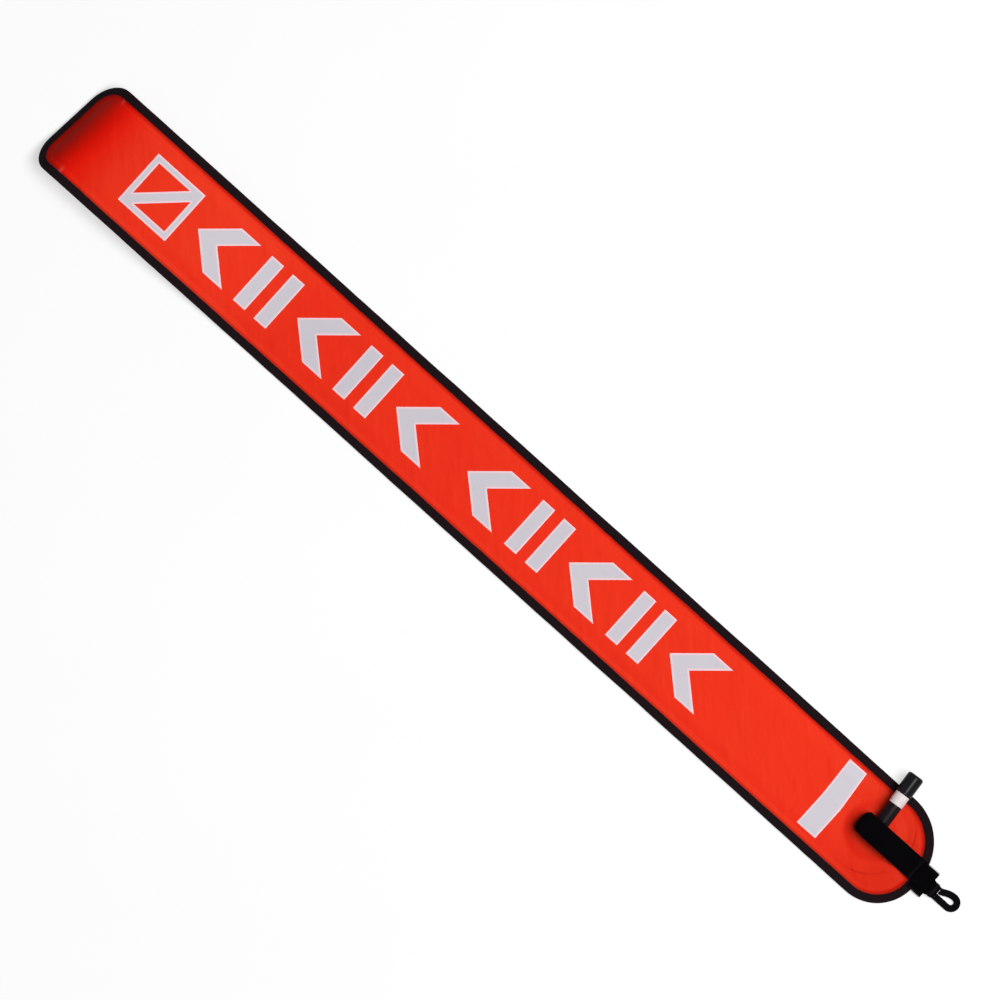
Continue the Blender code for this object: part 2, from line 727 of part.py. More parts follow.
def build_mouthpiece(along, plastic):
    """Skirt, end wall and inner tube in one turned shape, joined to a spoked hub."""
    inner_wall = MOUTH_END - MOUTH_WALL
    end_round = arc((MOUTH_RADIUS - MOUTH_ROUND, MOUTH_END - MOUTH_ROUND), MOUTH_ROUND, 90, 0, 5)
    mouth_round = arc((MOUTH_BORE + MOUTH_LIP, MOUTH_END - MOUTH_LIP), MOUTH_LIP, 180, 90, 3)
    shell = turned(
        "mouthpiece",
        end_round
        + [
            (MOUTH_RADIUS, MOUTH_FROM + SKIRT_WALL / 2),
            (MOUTH_RADIUS - SKIRT_WALL / 2, MOUTH_FROM),
            (SKIRT_BORE, MOUTH_FROM),
            (SKIRT_BORE, inner_wall),
            (MOUTH_TUBE_RADIUS, inner_wall),
            (MOUTH_TUBE_RADIUS, HUB_FROM),
            (MOUTH_BORE, HUB_FROM),
        ]
        + mouth_round,
        plastic,
        along,
    )
    hub = turned(
        "mouthpiece_hub",
        (
            (HUB_RADIUS, HUB_TO),
            (HUB_RADIUS, HUB_FROM),
            (STEM_HOLE, HUB_FROM),
            (STEM_HOLE, HUB_TO),
        ),
        parent=along,
        cutter=True,
        steps=SMALL_STEPS,
    )
    bm = bmesh.new()
    bite = MOUTH_TUBE_WALL / 2
    inside = HUB_RADIUS - bite
    outside = MOUTH_BORE + bite
    for i in range(SPOKES):
        turn = Matrix.Rotation(2 * math.pi * (i + 0.25) / SPOKES, 4, "Z")
        place = turn @ Matrix.Translation(((inside + outside) / 2, 0, (HUB_FROM + HUB_TO) / 2))
        size = Matrix.Diagonal((outside - inside, SPOKE_WIDTH, HUB_THICK - 2 * GAP, 1))
        bmesh.ops.create_cube(bm, size=1, matrix=place @ size)
    spokes = add_object("hub_spokes", mesh_from(bm, "hub_spokes"), parent=along, cutter=True)
    cut(shell, spokes, "UNION")
    cut(shell, hub, "UNION")


def build_valve(along, metal, rubber, plastic):
    """The stem, whose shoulders hold the hub and the poppet, and the poppet's washer, plate and nut."""
    stem_head_to = HUB_TO + GAP + STEM_HEAD
    edge = STEM_HEAD / 3
    hub_shoulder = HUB_FROM - GAP
    poppet_shoulder = SEAT_FROM + STEM_SHOULDER
    turned(
        "valve_stem",
        (
            (0, stem_head_to),
            (STEM_HEAD_RADIUS - edge, stem_head_to),
            (STEM_HEAD_RADIUS, stem_head_to - edge),
            (STEM_HEAD_RADIUS, HUB_TO + GAP),
            (STEM_RADIUS, HUB_TO + GAP),
            (STEM_RADIUS, hub_shoulder),
            (STEM_SHOULDER_RADIUS, hub_shoulder),
            (STEM_SHOULDER_RADIUS, hub_shoulder - STEM_SHOULDER),
            (STEM_RADIUS, hub_shoulder - STEM_SHOULDER),
            (STEM_RADIUS, poppet_shoulder),
            (STEM_SHOULDER_RADIUS, poppet_shoulder),
            (STEM_SHOULDER_RADIUS, poppet_shoulder - STEM_SHOULDER),
            (STEM_RADIUS, poppet_shoulder - STEM_SHOULDER),
            (STEM_RADIUS, STEM_FROM + edge),
            (STEM_RADIUS - edge, STEM_FROM),
            (0, STEM_FROM),
        ),
        metal,
        along,
        steps=SMALL_STEPS,
        closed=False,
    )
    turned(
        "poppet_washer",
        (
            (POPPET_RADIUS, WASHER_FROM + POPPET_WASHER),
            (POPPET_RADIUS, WASHER_FROM),
            (STEM_HOLE, WASHER_FROM),
            (STEM_HOLE, WASHER_FROM + POPPET_WASHER),
        ),
        rubber,
        along,
    )
    turned(
        "poppet_plate",
        (
            (POPPET_RADIUS, PLATE_FROM + POPPET_PLATE),
            (POPPET_RADIUS, PLATE_FROM + POPPET_PLATE / 2),
            (POPPET_RADIUS - POPPET_PLATE, PLATE_FROM),
            (STEM_HOLE, PLATE_FROM),
            (STEM_HOLE, PLATE_FROM + POPPET_PLATE),
        ),
        plastic,
        along,
    )
    turned(
        "stem_nut",
        (
            (STEM_NUT_RADIUS, STEM_NUT_FROM + STEM_NUT),
            (STEM_NUT_RADIUS, STEM_NUT_FROM),
            (STEM_HOLE, STEM_NUT_FROM),
            (STEM_HOLE, STEM_NUT_FROM + STEM_NUT),
        ),
        metal,
        along,
        steps=6,
    )
    build_spring(along, metal)


def build_spring(along, metal):
    """A wire coil with a closed turn at each end, between the seat and the mouthpiece's tube."""
    low = SEAT_TO + GAP + SPRING_WIRE
    high = HUB_FROM - GAP - SPRING_WIRE
    mean = MOUTH_BORE + SPRING_WIRE
    closed_rise = 2 * SPRING_WIRE + SEAL_GAP
    curve = bpy.data.curves.new("return_spring", "CURVE")
    curve.dimensions = "3D"
    curve.bevel_depth = SPRING_WIRE
    curve.bevel_resolution = 2
    curve.use_fill_caps = True
    spline = curve.splines.new("POLY")
    count = SPRING_TURNS * POINTS_A_TURN
    spline.points.add(count)
    for i in range(count + 1):
        turn = i / POINTS_A_TURN
        if turn < 1:
            z = low + closed_rise * turn
        elif turn > SPRING_TURNS - 1:
            z = high - closed_rise * (SPRING_TURNS - turn)
        else:
            share = (turn - 1) / (SPRING_TURNS - 2)
            z = low + closed_rise + (high - low - 2 * closed_rise) * share
        angle = 2 * math.pi * turn
        spline.points[i].co = (mean * math.cos(angle), mean * math.sin(angle), z, 1)
    add_object("return_spring", curve, metal, along)


def strap_path():
    """Middle line of the strap, from its end under the anchor up, round the elbow and back over it."""
    half = STRAP / 2
    turn_y = STRAP_TOP_Y - half - STRAP_LOWER_TURN
    lower = [
        (STRAP_END_Y, TAPE_TOP_Z),
        (STRAP_CLIMBED_Y, TAPE_TOP_Z),
        (STRAP_FLAT_Y, FLAT_TOP_Z),
        (VALVE_Y - BUMP_RADIUS - BUMP_SLOPE, FLAT_TOP_Z),
        (VALVE_Y - BUMP_RADIUS, BUMP_TOP_Z),
    ]
    points = [(y, z + GAP + half) for y, z in lower]
    points += arc((turn_y, BUMP_TOP_Z + GAP + half + STRAP_LOWER_TURN), STRAP_LOWER_TURN, -90, 0, 5)
    top = STRAP_OVER_Z + half
    points += arc((STRAP_TOP_Y - half - STRAP_TURN, top - STRAP_TURN), STRAP_TURN, 0, 90, 8)
    second_layer = GAP + half + STRAP + 2 * GAP
    steps = round((STRAP_CREST_Y - STRAP_FLAT_Y) / STRAP_STEP)
    for i in range(steps + 1):
        y = STRAP_CREST_Y + (STRAP_FLAT_Y - STRAP_CREST_Y) * i / steps
        points.append((y, top + (FLAT_TOP_Z + second_layer - top) * ease(i / steps)))
    points += [(y, z + second_layer) for y, z in lower[1::-1]]
    return points


def build_strap(webbing):
    bm = bmesh.new()
    half = STRAP_WIDTH / 2
    path = strap_path()
    left = [bm.verts.new((STRAP_X - half, y, z)) for y, z in path]
    right = [bm.verts.new((STRAP_X + half, y, z)) for y, z in path]
    for i in range(len(path) - 1):
        bm.faces.new((left[i], right[i], right[i + 1], left[i + 1]))
    strap = add_object("strap_loop", mesh_from(bm, "strap_loop"), webbing)
    thicken(strap, STRAP, offset=0.0)

    past = STRAP
    low = STRAP_END_Y - past
    corner_y = STRAP_TOP_Y - STRAP_CORNER
    outline = (
        [(STRAP_X - half - past, low), (STRAP_X + half + past, low)]
        + [(STRAP_X + half + past, corner_y)]
        + arc((STRAP_X + half - STRAP_CORNER, corner_y), STRAP_CORNER, 0, 90, 7)
        + arc((STRAP_X - half + STRAP_CORNER, corner_y), STRAP_CORNER, 90, 180, 7)
        + [(STRAP_X - half - past, corner_y)]
    )
    cut(strap, prism("strap_plan", outline, -past, STRAP_OVER_Z + STRAP + past, cutter=True), "INTERSECT")
    bm = bmesh.new()
    bmesh.ops.create_cone(
        bm,
        cap_ends=True,
        segments=ROUND_STEPS,
        radius1=NECK_RADIUS + GAP,
        radius2=NECK_RADIUS + GAP,
        depth=4 * STRAP,
        matrix=Matrix.Translation((VALVE_X, VALVE_Y, NUT_Z - GAP - STRAP / 2)),
    )
    cut(strap, add_object("strap_neck_hole", mesh_from(bm, "strap_neck_hole"), cutter=True))


def build_tab(webbing):
    """The wide tab on the tape, and the gathered end that the cord comes out of."""
    half = TAB_WIDTH / 2
    low = TAPE_TOP_Z + GAP
    outline = (
        (TAB_X - half, TAB_BOTTOM_Y),
        (TAB_X + half, TAB_BOTTOM_Y),
        (TAB_X + half, TAB_TOP_Y),
        (TAB_X - half, TAB_TOP_Y),
    )
    prism("bottom_tab", outline, low, low + TAB, webbing)

    layers = 2 * STRAP + 2 * GAP
    head = low + TAB + GAP
    waist_y = TAB_BOTTOM_Y - GAP
    tail_y = waist_y - ANCHOR_TAIL / 2
    tail_width = (ANCHOR_END_WIDTH + ANCHOR_WAIST_WIDTH) / 2
    bottom = ANCHOR_END_Z
    top = ANCHOR_END_Z + ANCHOR_END_THICK
    sections = (
        (STRAP_END_Y - GAP, STRAP_X, STRAP_WIDTH, low, low + layers),
        (TAB_TOP_Y + GAP, STRAP_X, STRAP_WIDTH, head, head + layers),
        (BAG_BOTTOM_Y, ANCHOR_SHOULDER_X, ANCHOR_SHOULDER_WIDTH, head, head + layers),
        (waist_y, ANCHOR_WAIST_X, ANCHOR_WAIST_WIDTH, head, head + layers),
        (tail_y, ANCHOR_END_X, tail_width, (bottom + head) / 2, top + ANCHOR_TAIL_ARCH),
        (ANCHOR_END_Y, ANCHOR_END_X, ANCHOR_END_WIDTH, bottom, top),
    )
    bm = bmesh.new()
    rings = []
    for y, x, width, bottom, top in sections:
        corner = min(width, top - bottom) * 0.3
        flat = width / 2 - corner
        outline = (
            arc((flat, top - corner), corner, 0, 90, 3)
            + arc((-flat, top - corner), corner, 90, 180, 3)
            + arc((-flat, bottom + corner), corner, 180, 270, 3)
            + arc((flat, bottom + corner), corner, 270, 360, 3)
        )
        rings.append([bm.verts.new((x + across, y, up)) for across, up in outline])
    for first, second in zip(rings, rings[1:]):
        join_rings(bm, first, second)
    bm.faces.new(rings[0])
    bm.faces.new(rings[-1])
    bmesh.ops.recalc_face_normals(bm, faces=bm.faces)
    add_object("strap_anchor", mesh_from(bm, "strap_anchor"), webbing)


def loop_outline():
    """The cord loop's outer edge, seen from above: down the left side, round and back up."""
    start_left = ANCHOR_END_X - ANCHOR_END_WIDTH / 2
    start_right = ANCHOR_END_X + ANCHOR_END_WIDTH / 2
    radius = (LOOP_RIGHT_X - LOOP_LEFT_X) / 2
    centre = (LOOP_LEFT_X + radius, LOOP_BOTTOM_Y + radius)
    plan = side_run(start_left, LOOP_START_Y, LOOP_LEFT_X, centre[1])
    plan += arc(centre, radius, 180, 360, 10)[1:-1]
    plan += side_run(start_right, LOOP_START_Y, LOOP_RIGHT_X, centre[1])[::-1]
    return [Vector(point) for point in plan]


def side_run(from_x, from_y, to_x, to_y):
    """An S-shaped run that starts and ends straight along Y, and spreads soon after its start."""
    length = to_y - from_y
    run = interpolate_bezier(
        Vector((from_x, from_y, 0)),
        Vector((from_x, from_y + LOOP_LEAVES * length, 0)),
        Vector((to_x, to_y - LOOP_ARRIVES * length, 0)),
        Vector((to_x, to_y, 0)),
        12,
    )
    return [(point.x, point.y) for point in run]


def loop_line(inset):
    """One turn of the cord, at an even distance in from the loop's edge, sinking to the ground."""
    start_z = ANCHOR_END_Z + ANCHOR_END_THICK / 2
    rest_z = CORD / 2 + CORD_SPACE
    outline = loop_outline()
    points = []
    for before, here, after in zip(outline[:1] + outline, outline, outline[1:] + outline[-1:]):
        ahead = (after - before).normalized()
        x, y = here + inset * Vector((-ahead.y, ahead.x))
        sunk = ease((LOOP_START_Y - y) / LOOP_SINK)
        points.append(Vector((x, y, start_z + (rest_z - start_z) * sunk)))
    return smooth_line(points, CORD)


def smooth_line(points, spacing):
    """Evenly spaced points on a Catmull-Rom curve through the given ones."""
    padded = [2 * points[0] - points[1]] + points + [2 * points[-1] - points[-2]]
    fine = []
    for a, b, c, d in zip(padded, padded[1:], padded[2:], padded[3:]):
        for i in range(12):
            t = i / 12
            fine.append(
                0.5
                * (2 * b + (c - a) * t + (2 * a - 5 * b + 4 * c - d) * t**2 + (3 * b - a - 3 * c + d) * t**3)
            )
    fine.append(points[-1])
    length = sum((q - p).length for p, q in zip(fine, fine[1:]))
    count = max(2, round(length / spacing))
    out = [fine[0]]
    walked = 0.0
    for p, q in zip(fine, fine[1:]):
        piece = (q - p).length
        while len(out) < count and walked + piece >= len(out) * length / count:
            share = (len(out) * length / count - walked) / piece
            out.append(p.lerp(q, share))
        walked += piece
    out.append(fine[-1])
    return out


def build_cord(name, inset, look):
    curve = bpy.data.curves.new(name, "CURVE")
    curve.dimensions = "3D"
    curve.bevel_depth = CORD / 2
    curve.bevel_resolution = 2
    curve.use_fill_caps = True
    line = loop_line(inset)
    spline = curve.splines.new("POLY")
    spline.points.add(len(line) - 1)
    for point, place in zip(spline.points, line):
        point.co = (*place, 1)
    add_object(name, curve, look)


def main():
    clear_scene()
    orange = material("coated_fabric", (0.93, 0.05, 0.018), 0.45)
    tape = material("edge_tape", (0.012, 0.010, 0.012), 0.85)
    webbing = material("webbing", (0.008, 0.008, 0.009), 0.9)
    plastic = material("black_plastic", (0.016, 0.015, 0.018), 0.35)
    white = material("white_sleeve", (0.75, 0.72, 0.70), 0.5)
    rubber = material("seal_rubber", (0.03, 0.03, 0.03), 0.6)
    metal = material("stainless_steel", (0.6, 0.6, 0.6), 0.3, 1.0)

    build_bag(orange, tape)
    valve_axis = build_flange(plastic, rubber)
    swivel = add_empty("swivel_axis", (0, 0, AXIS_Z), valve_axis, (0, 0, BARREL_HEADING))
    along = add_empty("barrel_axis", (0, 0, 0), swivel, (0, math.pi / 2, 0))
    build_elbow(valve_axis, along, plastic, rubber)
    build_barrel(along, plastic, white, rubber)
    build_mouthpiece(along, plastic)
    build_valve(along, metal, rubber, plastic)
    build_strap(webbing)
    build_tab(webbing)
    build_cord("cord_loop_outer", CORD / 2, tape)
    build_cord("cord_loop_inner", CORD * 1.5 + CORD_SPACE, tape)


main()
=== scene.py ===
"""Looks of a surface marker buoy with an oral inflator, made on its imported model.

The buoy lies flat on its back. +Y runs to its top end, +X to its right and +Z up out of its front.
Units are metres.
"""

import contextlib
import functools
import logging
import math
from collections.abc import Callable, Iterable, Iterator, Mapping, Sequence
from dataclasses import dataclass
from enum import Enum

import bmesh
import bpy
from mathutils import Matrix, Vector, noise
from mathutils.geometry import interpolate_bezier


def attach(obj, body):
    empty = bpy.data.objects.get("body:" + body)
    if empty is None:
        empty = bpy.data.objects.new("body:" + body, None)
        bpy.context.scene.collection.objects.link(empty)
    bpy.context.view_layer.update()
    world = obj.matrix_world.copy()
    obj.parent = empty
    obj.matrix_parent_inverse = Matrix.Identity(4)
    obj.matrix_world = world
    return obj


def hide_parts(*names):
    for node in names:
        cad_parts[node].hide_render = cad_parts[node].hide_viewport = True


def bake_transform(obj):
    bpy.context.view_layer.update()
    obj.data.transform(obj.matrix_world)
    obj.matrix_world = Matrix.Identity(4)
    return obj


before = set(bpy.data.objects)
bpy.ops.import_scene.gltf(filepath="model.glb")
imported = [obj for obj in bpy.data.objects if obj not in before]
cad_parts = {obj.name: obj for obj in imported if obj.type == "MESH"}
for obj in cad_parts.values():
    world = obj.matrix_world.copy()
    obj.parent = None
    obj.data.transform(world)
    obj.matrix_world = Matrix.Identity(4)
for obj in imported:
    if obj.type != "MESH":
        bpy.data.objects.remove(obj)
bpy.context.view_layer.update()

MM = 0.001
Plan = tuple[float, float]
Colour = tuple[float, float, float]
Section = tuple[float, float, float, float, float]
log = logging.getLogger("surface_marker_buoy")


class Body(Enum):
    """The bodies that a piece can ride on."""

    BAG = "bag"
    INFLATOR = "inflator"
    MOUTHPIECE = "mouthpiece"


class Slot(Enum):
    """The material slots of the record."""

    FABRIC = "coated_fabric"
    TAPE = "edge_tape"
    WEBBING = "webbing"
    CORD = "cord"
    PLASTIC = "black_plastic"
    SLEEVE = "white_sleeve"
    STEEL = "stainless_steel"


class Side(Enum):
    """The two sheets of the bag."""

    REAR = "rear"
    FRONT = "front"


class Motif(Enum):
    """The plain reflective shapes down the bag."""

    CHEVRON = "chevron"
    BARS = "bars"


def ease(share: float) -> float:
    """A smooth step from 0 to 1, for a share that is first held between 0 and 1."""
    share = min(1.0, max(0.0, share))
    return share * share * (3 - 2 * share)


def arc(centre: Plan, radius: float, start: float, end: float, count: int) -> list[Plan]:
    """Points on an arc in a plane, between two angles in degrees and one more than its steps."""
    angles = [math.radians(start + (end - start) * i / count) for i in range(count + 1)]
    return [(centre[0] + radius * math.cos(a), centre[1] + radius * math.sin(a)) for a in angles]


def length_of(points: Sequence[Vector]) -> float:
    """The length of a run of straight pieces."""
    return sum((b - a).length for a, b in zip(points, points[1:]))


def resampled(points: Sequence[Vector], spacing: float) -> list[Vector]:
    """Evenly spaced points on a run of straight pieces.

    Args:
        points: The run's corners.
        spacing: About how far apart the new points are.

    Returns:
        The new points, with both ends kept.
    """
    lengths = [(b - a).length for a, b in zip(points, points[1:])]
    count = max(2, round(sum(lengths) / spacing))
    size = sum(lengths) / count
    out = [points[0].copy()]
    walked = 0.0
    for a, b, length in zip(points, points[1:], lengths):
        while len(out) < count and walked + length >= len(out) * size:
            out.append(a.lerp(b, (len(out) * size - walked) / length))
        walked += length
    return out + [points[-1].copy()]


def softened(points: Sequence[Vector], rounds: int) -> list[Vector]:
    """The points with their corners smoothed away and their ends kept.

    Args:
        points: Evenly spaced points.
        rounds: How many times each point moves to the middle of its neighbours and itself.

    Returns:
        The smoothed points.
    """
    out = list(points)
    for _ in range(rounds):
        middle = [(a + 2 * b + c) / 4 for a, b, c in zip(out, out[1:], out[2:])]
        out = [out[0]] + middle + [out[-1]]
    return out


def nearest_on(point: Vector, start: Vector, end: Vector) -> Vector:
    """The place on a straight piece, given by its ends, that is nearest to a point."""
    run = end - start
    return start + run * min(1.0, max(0.0, (point - start).dot(run) / run.length_squared))


def rough(x: float, y: float, scale: float, seed: float) -> float:
    """A smooth wandering value from about -1 to 1, with as many swings a metre as its scale."""
    return noise.noise(Vector((x * scale, y * scale, seed)))


def grid_mesh(
    name: str,
    rows: Sequence[Sequence[Vector]],
    marks: Mapping[str, Sequence[Sequence[Plan]]],
    loop_rows: bool = False,
    loop_columns: bool = False,
) -> bpy.types.Mesh:
    """A mesh of rows and columns of points, with its pattern coordinates.

    Args:
        name: The mesh's name.
        rows: The points, row by row.
        marks: For each pattern map, a coordinate for each point, with one row or column more
            where it is looped.
        loop_rows: Whether the last row joins the first.
        loop_columns: Whether the last point of each row joins its first.

    Returns:
        The mesh, smooth shaded.
    """
    columns = len(rows[0])
    faces = []
    corners = []
    for i in range(len(rows) - (not loop_rows)):
        for j in range(columns - (not loop_columns)):
            square = ((i, j), (i, j + 1), (i + 1, j + 1), (i + 1, j))
            faces.append([(a % len(rows)) * columns + b % columns for a, b in square])
            corners += square
    mesh = bpy.data.meshes.new(name)
    mesh.from_pydata([point for row in rows for point in row], [], faces)
    for map_name, places in marks.items():
        layer = mesh.uv_layers.new(name=map_name)
        layer.uv.foreach_set("vector", [value for a, b in corners for value in places[a][b]])
    mesh.shade_smooth()
    return mesh


def tube_mesh(
    name: str,
    lines: Iterable[Sequence[Vector]],
    radius: float,
    sides: int = 6,
    swell: Callable[[float, float], float] | None = None,
) -> bpy.types.Mesh:
    """Round tubes with domed ends along a number of lines.

    Args:
        name: The mesh's name.
        lines: The lines, each of two points or more.
        radius: The tubes' radius.
        sides: How many sides a tube has.
        swell: Gives the share of the radius at an angle and a distance along.

    Returns:
        The mesh, with a pattern map "cloth" of distance round and along.
    """
    bm = bmesh.new()
    layer = bm.loops.layers.uv.new("cloth")
    for line in lines:
        ahead = (line[1] - line[0]).normalized()
        side = ahead.orthogonal().normalized()
        walked = 0.0
        rings = []
        for i, here in enumerate(line):
            ahead = (line[min(i + 1, len(line) - 1)] - line[max(i - 1, 0)]).normalized()
            side = (side - side.dot(ahead) * ahead).normalized()
            other = ahead.cross(side)
            walked += (here - line[max(i - 1, 0)]).length
            ring = []
            for j in range(sides):
                angle = 2 * math.pi * j / sides
                reach = radius * (swell(angle, walked) if swell else 1.0)
                ring.append(bm.verts.new(here + reach * (math.cos(angle) * side + math.sin(angle) * other)))
            rings.append((ring, walked))
        for (first, low), (second, high) in zip(rings, rings[1:]):
            for j in range(sides):
                k = (j + 1) % sides
                face = bm.faces.new((first[j], first[k], second[k], second[j]))
                girth = 2 * math.pi * radius / sides
                places = ((j, low), (j + 1, low), (j + 1, high), (j, high))
                for loop, (turn, along) in zip(face.loops, places):
                    loop[layer].uv = (turn * girth, along)
        for (ring, _), end, inside in ((rings[0], line[0], line[1]), (rings[-1], line[-1], line[-2])):
            tip = bm.verts.new(end + (end - inside).normalized() * radius * 0.4)
            for j in range(sides):
                bm.faces.new((ring[j], ring[(j + 1) % sides], tip))
    return finished_mesh(bm, name)


def finished_mesh(bm: bmesh.types.BMesh, name: str, closed: bool = True) -> bpy.types.Mesh:
    """The built faces as a smooth shaded mesh.

    Args:
        bm: The faces, which are freed.
        name: The mesh's name.
        closed: Whether they enclose a solid, and so get outward normals.

    Returns:
        The mesh.
    """
    if closed:
        bmesh.ops.recalc_face_normals(bm, faces=bm.faces)
    mesh = bpy.data.meshes.new(name)
    bm.to_mesh(mesh)
    bm.free()
    mesh.shade_smooth()
    return mesh


@contextlib.contextmanager
def edited(mesh: bpy.types.Mesh) -> Iterator[bmesh.types.BMesh]:
    """Opens a mesh for changes, and writes them back smooth shaded.

    Args:
        mesh: The mesh.

    Yields:
        Its faces.
    """
    bm = bmesh.new()
    bm.from_mesh(mesh)
    yield bm
    bm.to_mesh(mesh)
    bm.free()
    mesh.shade_smooth()


def cut_round_hole(
    bm: bmesh.types.BMesh, centre: Plan, radius: float, reach: float, top: float = math.inf
) -> None:
    """Cuts a round hole about an upright axis.

    Args:
        bm: The faces.
        centre: X and Y of the axis.
        radius: The hole's radius.
        reach: How far past the radius a free corner still moves to the hole's edge.
        top: The height above which nothing is cut.
    """
    middle = Vector(centre)
    gone = []
    for face in bm.faces:
        spot = face.calc_center_median()
        if spot.z < top and (spot.xy - middle).length < radius + 0.6 * MM:
            gone.append(face)
    bmesh.ops.delete(bm, geom=gone, context="FACES")
    for vertex in bm.verts:
        away = vertex.co.xy - middle
        if vertex.is_boundary and vertex.co.z < top and away.length < radius + reach:
            vertex.co.xy = middle + away.normalized() * radius


def turn_round(
    bm: bmesh.types.BMesh,
    profile: Sequence[Plan],
    place: Matrix,
    steps: int = 96,
    reach: Callable[[float, float], float] | None = None,
) -> None:
    """Adds a closed turned shape about the place's own Z.

    Args:
        bm: The faces that it joins.
        profile: Its (radius, height) corners, in order.
        place: Where its axis stands.
        steps: How many steps it has round.
        reach: Gives the radius from a corner's radius and the angle.
    """
    rings = []
    for i in range(steps):
        angle = 2 * math.pi * i / steps
        ring = []
        for radius, height in profile:
            r = reach(radius, angle) if reach else radius
            ring.append(bm.verts.new(place @ Vector((r * math.cos(angle), r * math.sin(angle), height))))
        rings.append(ring)
    for first, second in zip(rings, rings[1:] + rings[:1]):
        for j in range(len(profile)):
            k = (j + 1) % len(profile)
            bm.faces.new((first[j], first[k], second[k], second[j]))
    bmesh.ops.remove_doubles(bm, verts=[v for ring in rings for v in ring], dist=0.000001)
    bmesh.ops.dissolve_degenerate(bm, edges=bm.edges, dist=0.0000001)


def rounded(profile: Sequence[Plan], radius: float) -> list[Plan]:
    """A closed outline with each corner rounded.

    Args:
        profile: The outline's corners.
        radius: The rounding, less where a side is short.

    Returns:
        The outline's points, four for each corner.
    """
    out = []
    count = len(profile)
    for i in range(count):
        before, here, after = (Vector(profile[(i + k) % count]) for k in (-1, 0, 1))
        back, ahead = before - here, after - here
        size = min(radius, 0.45 * back.length, 0.45 * ahead.length)
        start, end = here + back.normalized() * size, here + ahead.normalized() * size
        for t in (0, 1 / 3, 2 / 3, 1):
            out.append(tuple((1 - t) ** 2 * start + 2 * t * (1 - t) * here + t * t * end))
    return out


def groove(radius: float, low: float, high: float, depth: float, slope: float = 0.3 * MM) -> list[Plan]:
    """Corners of a ring groove in a turned profile, from its upper edge down."""
    return [(radius, high), (radius - depth, high - slope), (radius - depth, low + slope), (radius, low)]


def add_piece(
    mesh: bpy.types.Mesh,
    finish: bpy.types.Material,
    body: Body | None = Body.BAG,
    replaces: Sequence[str] = (),
) -> bpy.types.Object:
    """Puts a mesh in the scene as a piece of the buoy.

    Args:
        mesh: The mesh, whose name the piece takes.
        finish: The material on it.
        body: The body that it moves with, or none for a piece between two bodies, which is left unattached.
        replaces: The CAD nodes that it stands for.

    Returns:
        The piece.
    """
    piece = bpy.data.objects.new(mesh.name, mesh)
    bpy.context.scene.collection.objects.link(piece)
    mesh.materials.append(finish)
    if body:
        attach(piece, body.value)
    if replaces:
        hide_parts(*replaces)
    carrier = body.value if body else "two bodies"
    log.info("%s: %d faces, on %s, %s", mesh.name, len(mesh.polygons), carrier, finish.name)
    return piece


def thicken(piece: bpy.types.Object, thickness: float, offset: float = -1.0) -> None:
    """Gives a sheet its thickness.

    Args:
        piece: The sheet.
        thickness: Its thickness.
        offset: -1 to grow away from its face, 0 to grow both ways.
    """
    step = piece.modifiers.new("thickness", "SOLIDIFY")
    step.thickness = thickness
    step.offset = offset


def shade_by_area(piece: bpy.types.Object) -> None:
    """Lets a thin piece's wide faces shade evenly up to its edge.

    Args:
        piece: The piece.
    """
    step = piece.modifiers.new("shading", "WEIGHTED_NORMAL")
    step.mode = "FACE_AREA"
    step.weight = 100


def round_edges(piece: bpy.types.Object, width: float) -> None:
    """Rounds a piece's edges of 50 degrees and more a little.

    Args:
        piece: The piece.
        width: The rounding's width.
    """
    step = piece.modifiers.new("rounding", "BEVEL")
    step.width = width
    step.segments = 2
    step.limit_method = "ANGLE"
    step.angle_limit = math.radians(50)
    shade_by_area(piece)


# Node layout

Feed = bpy.types.NodeSocket | float | tuple[float, ...]


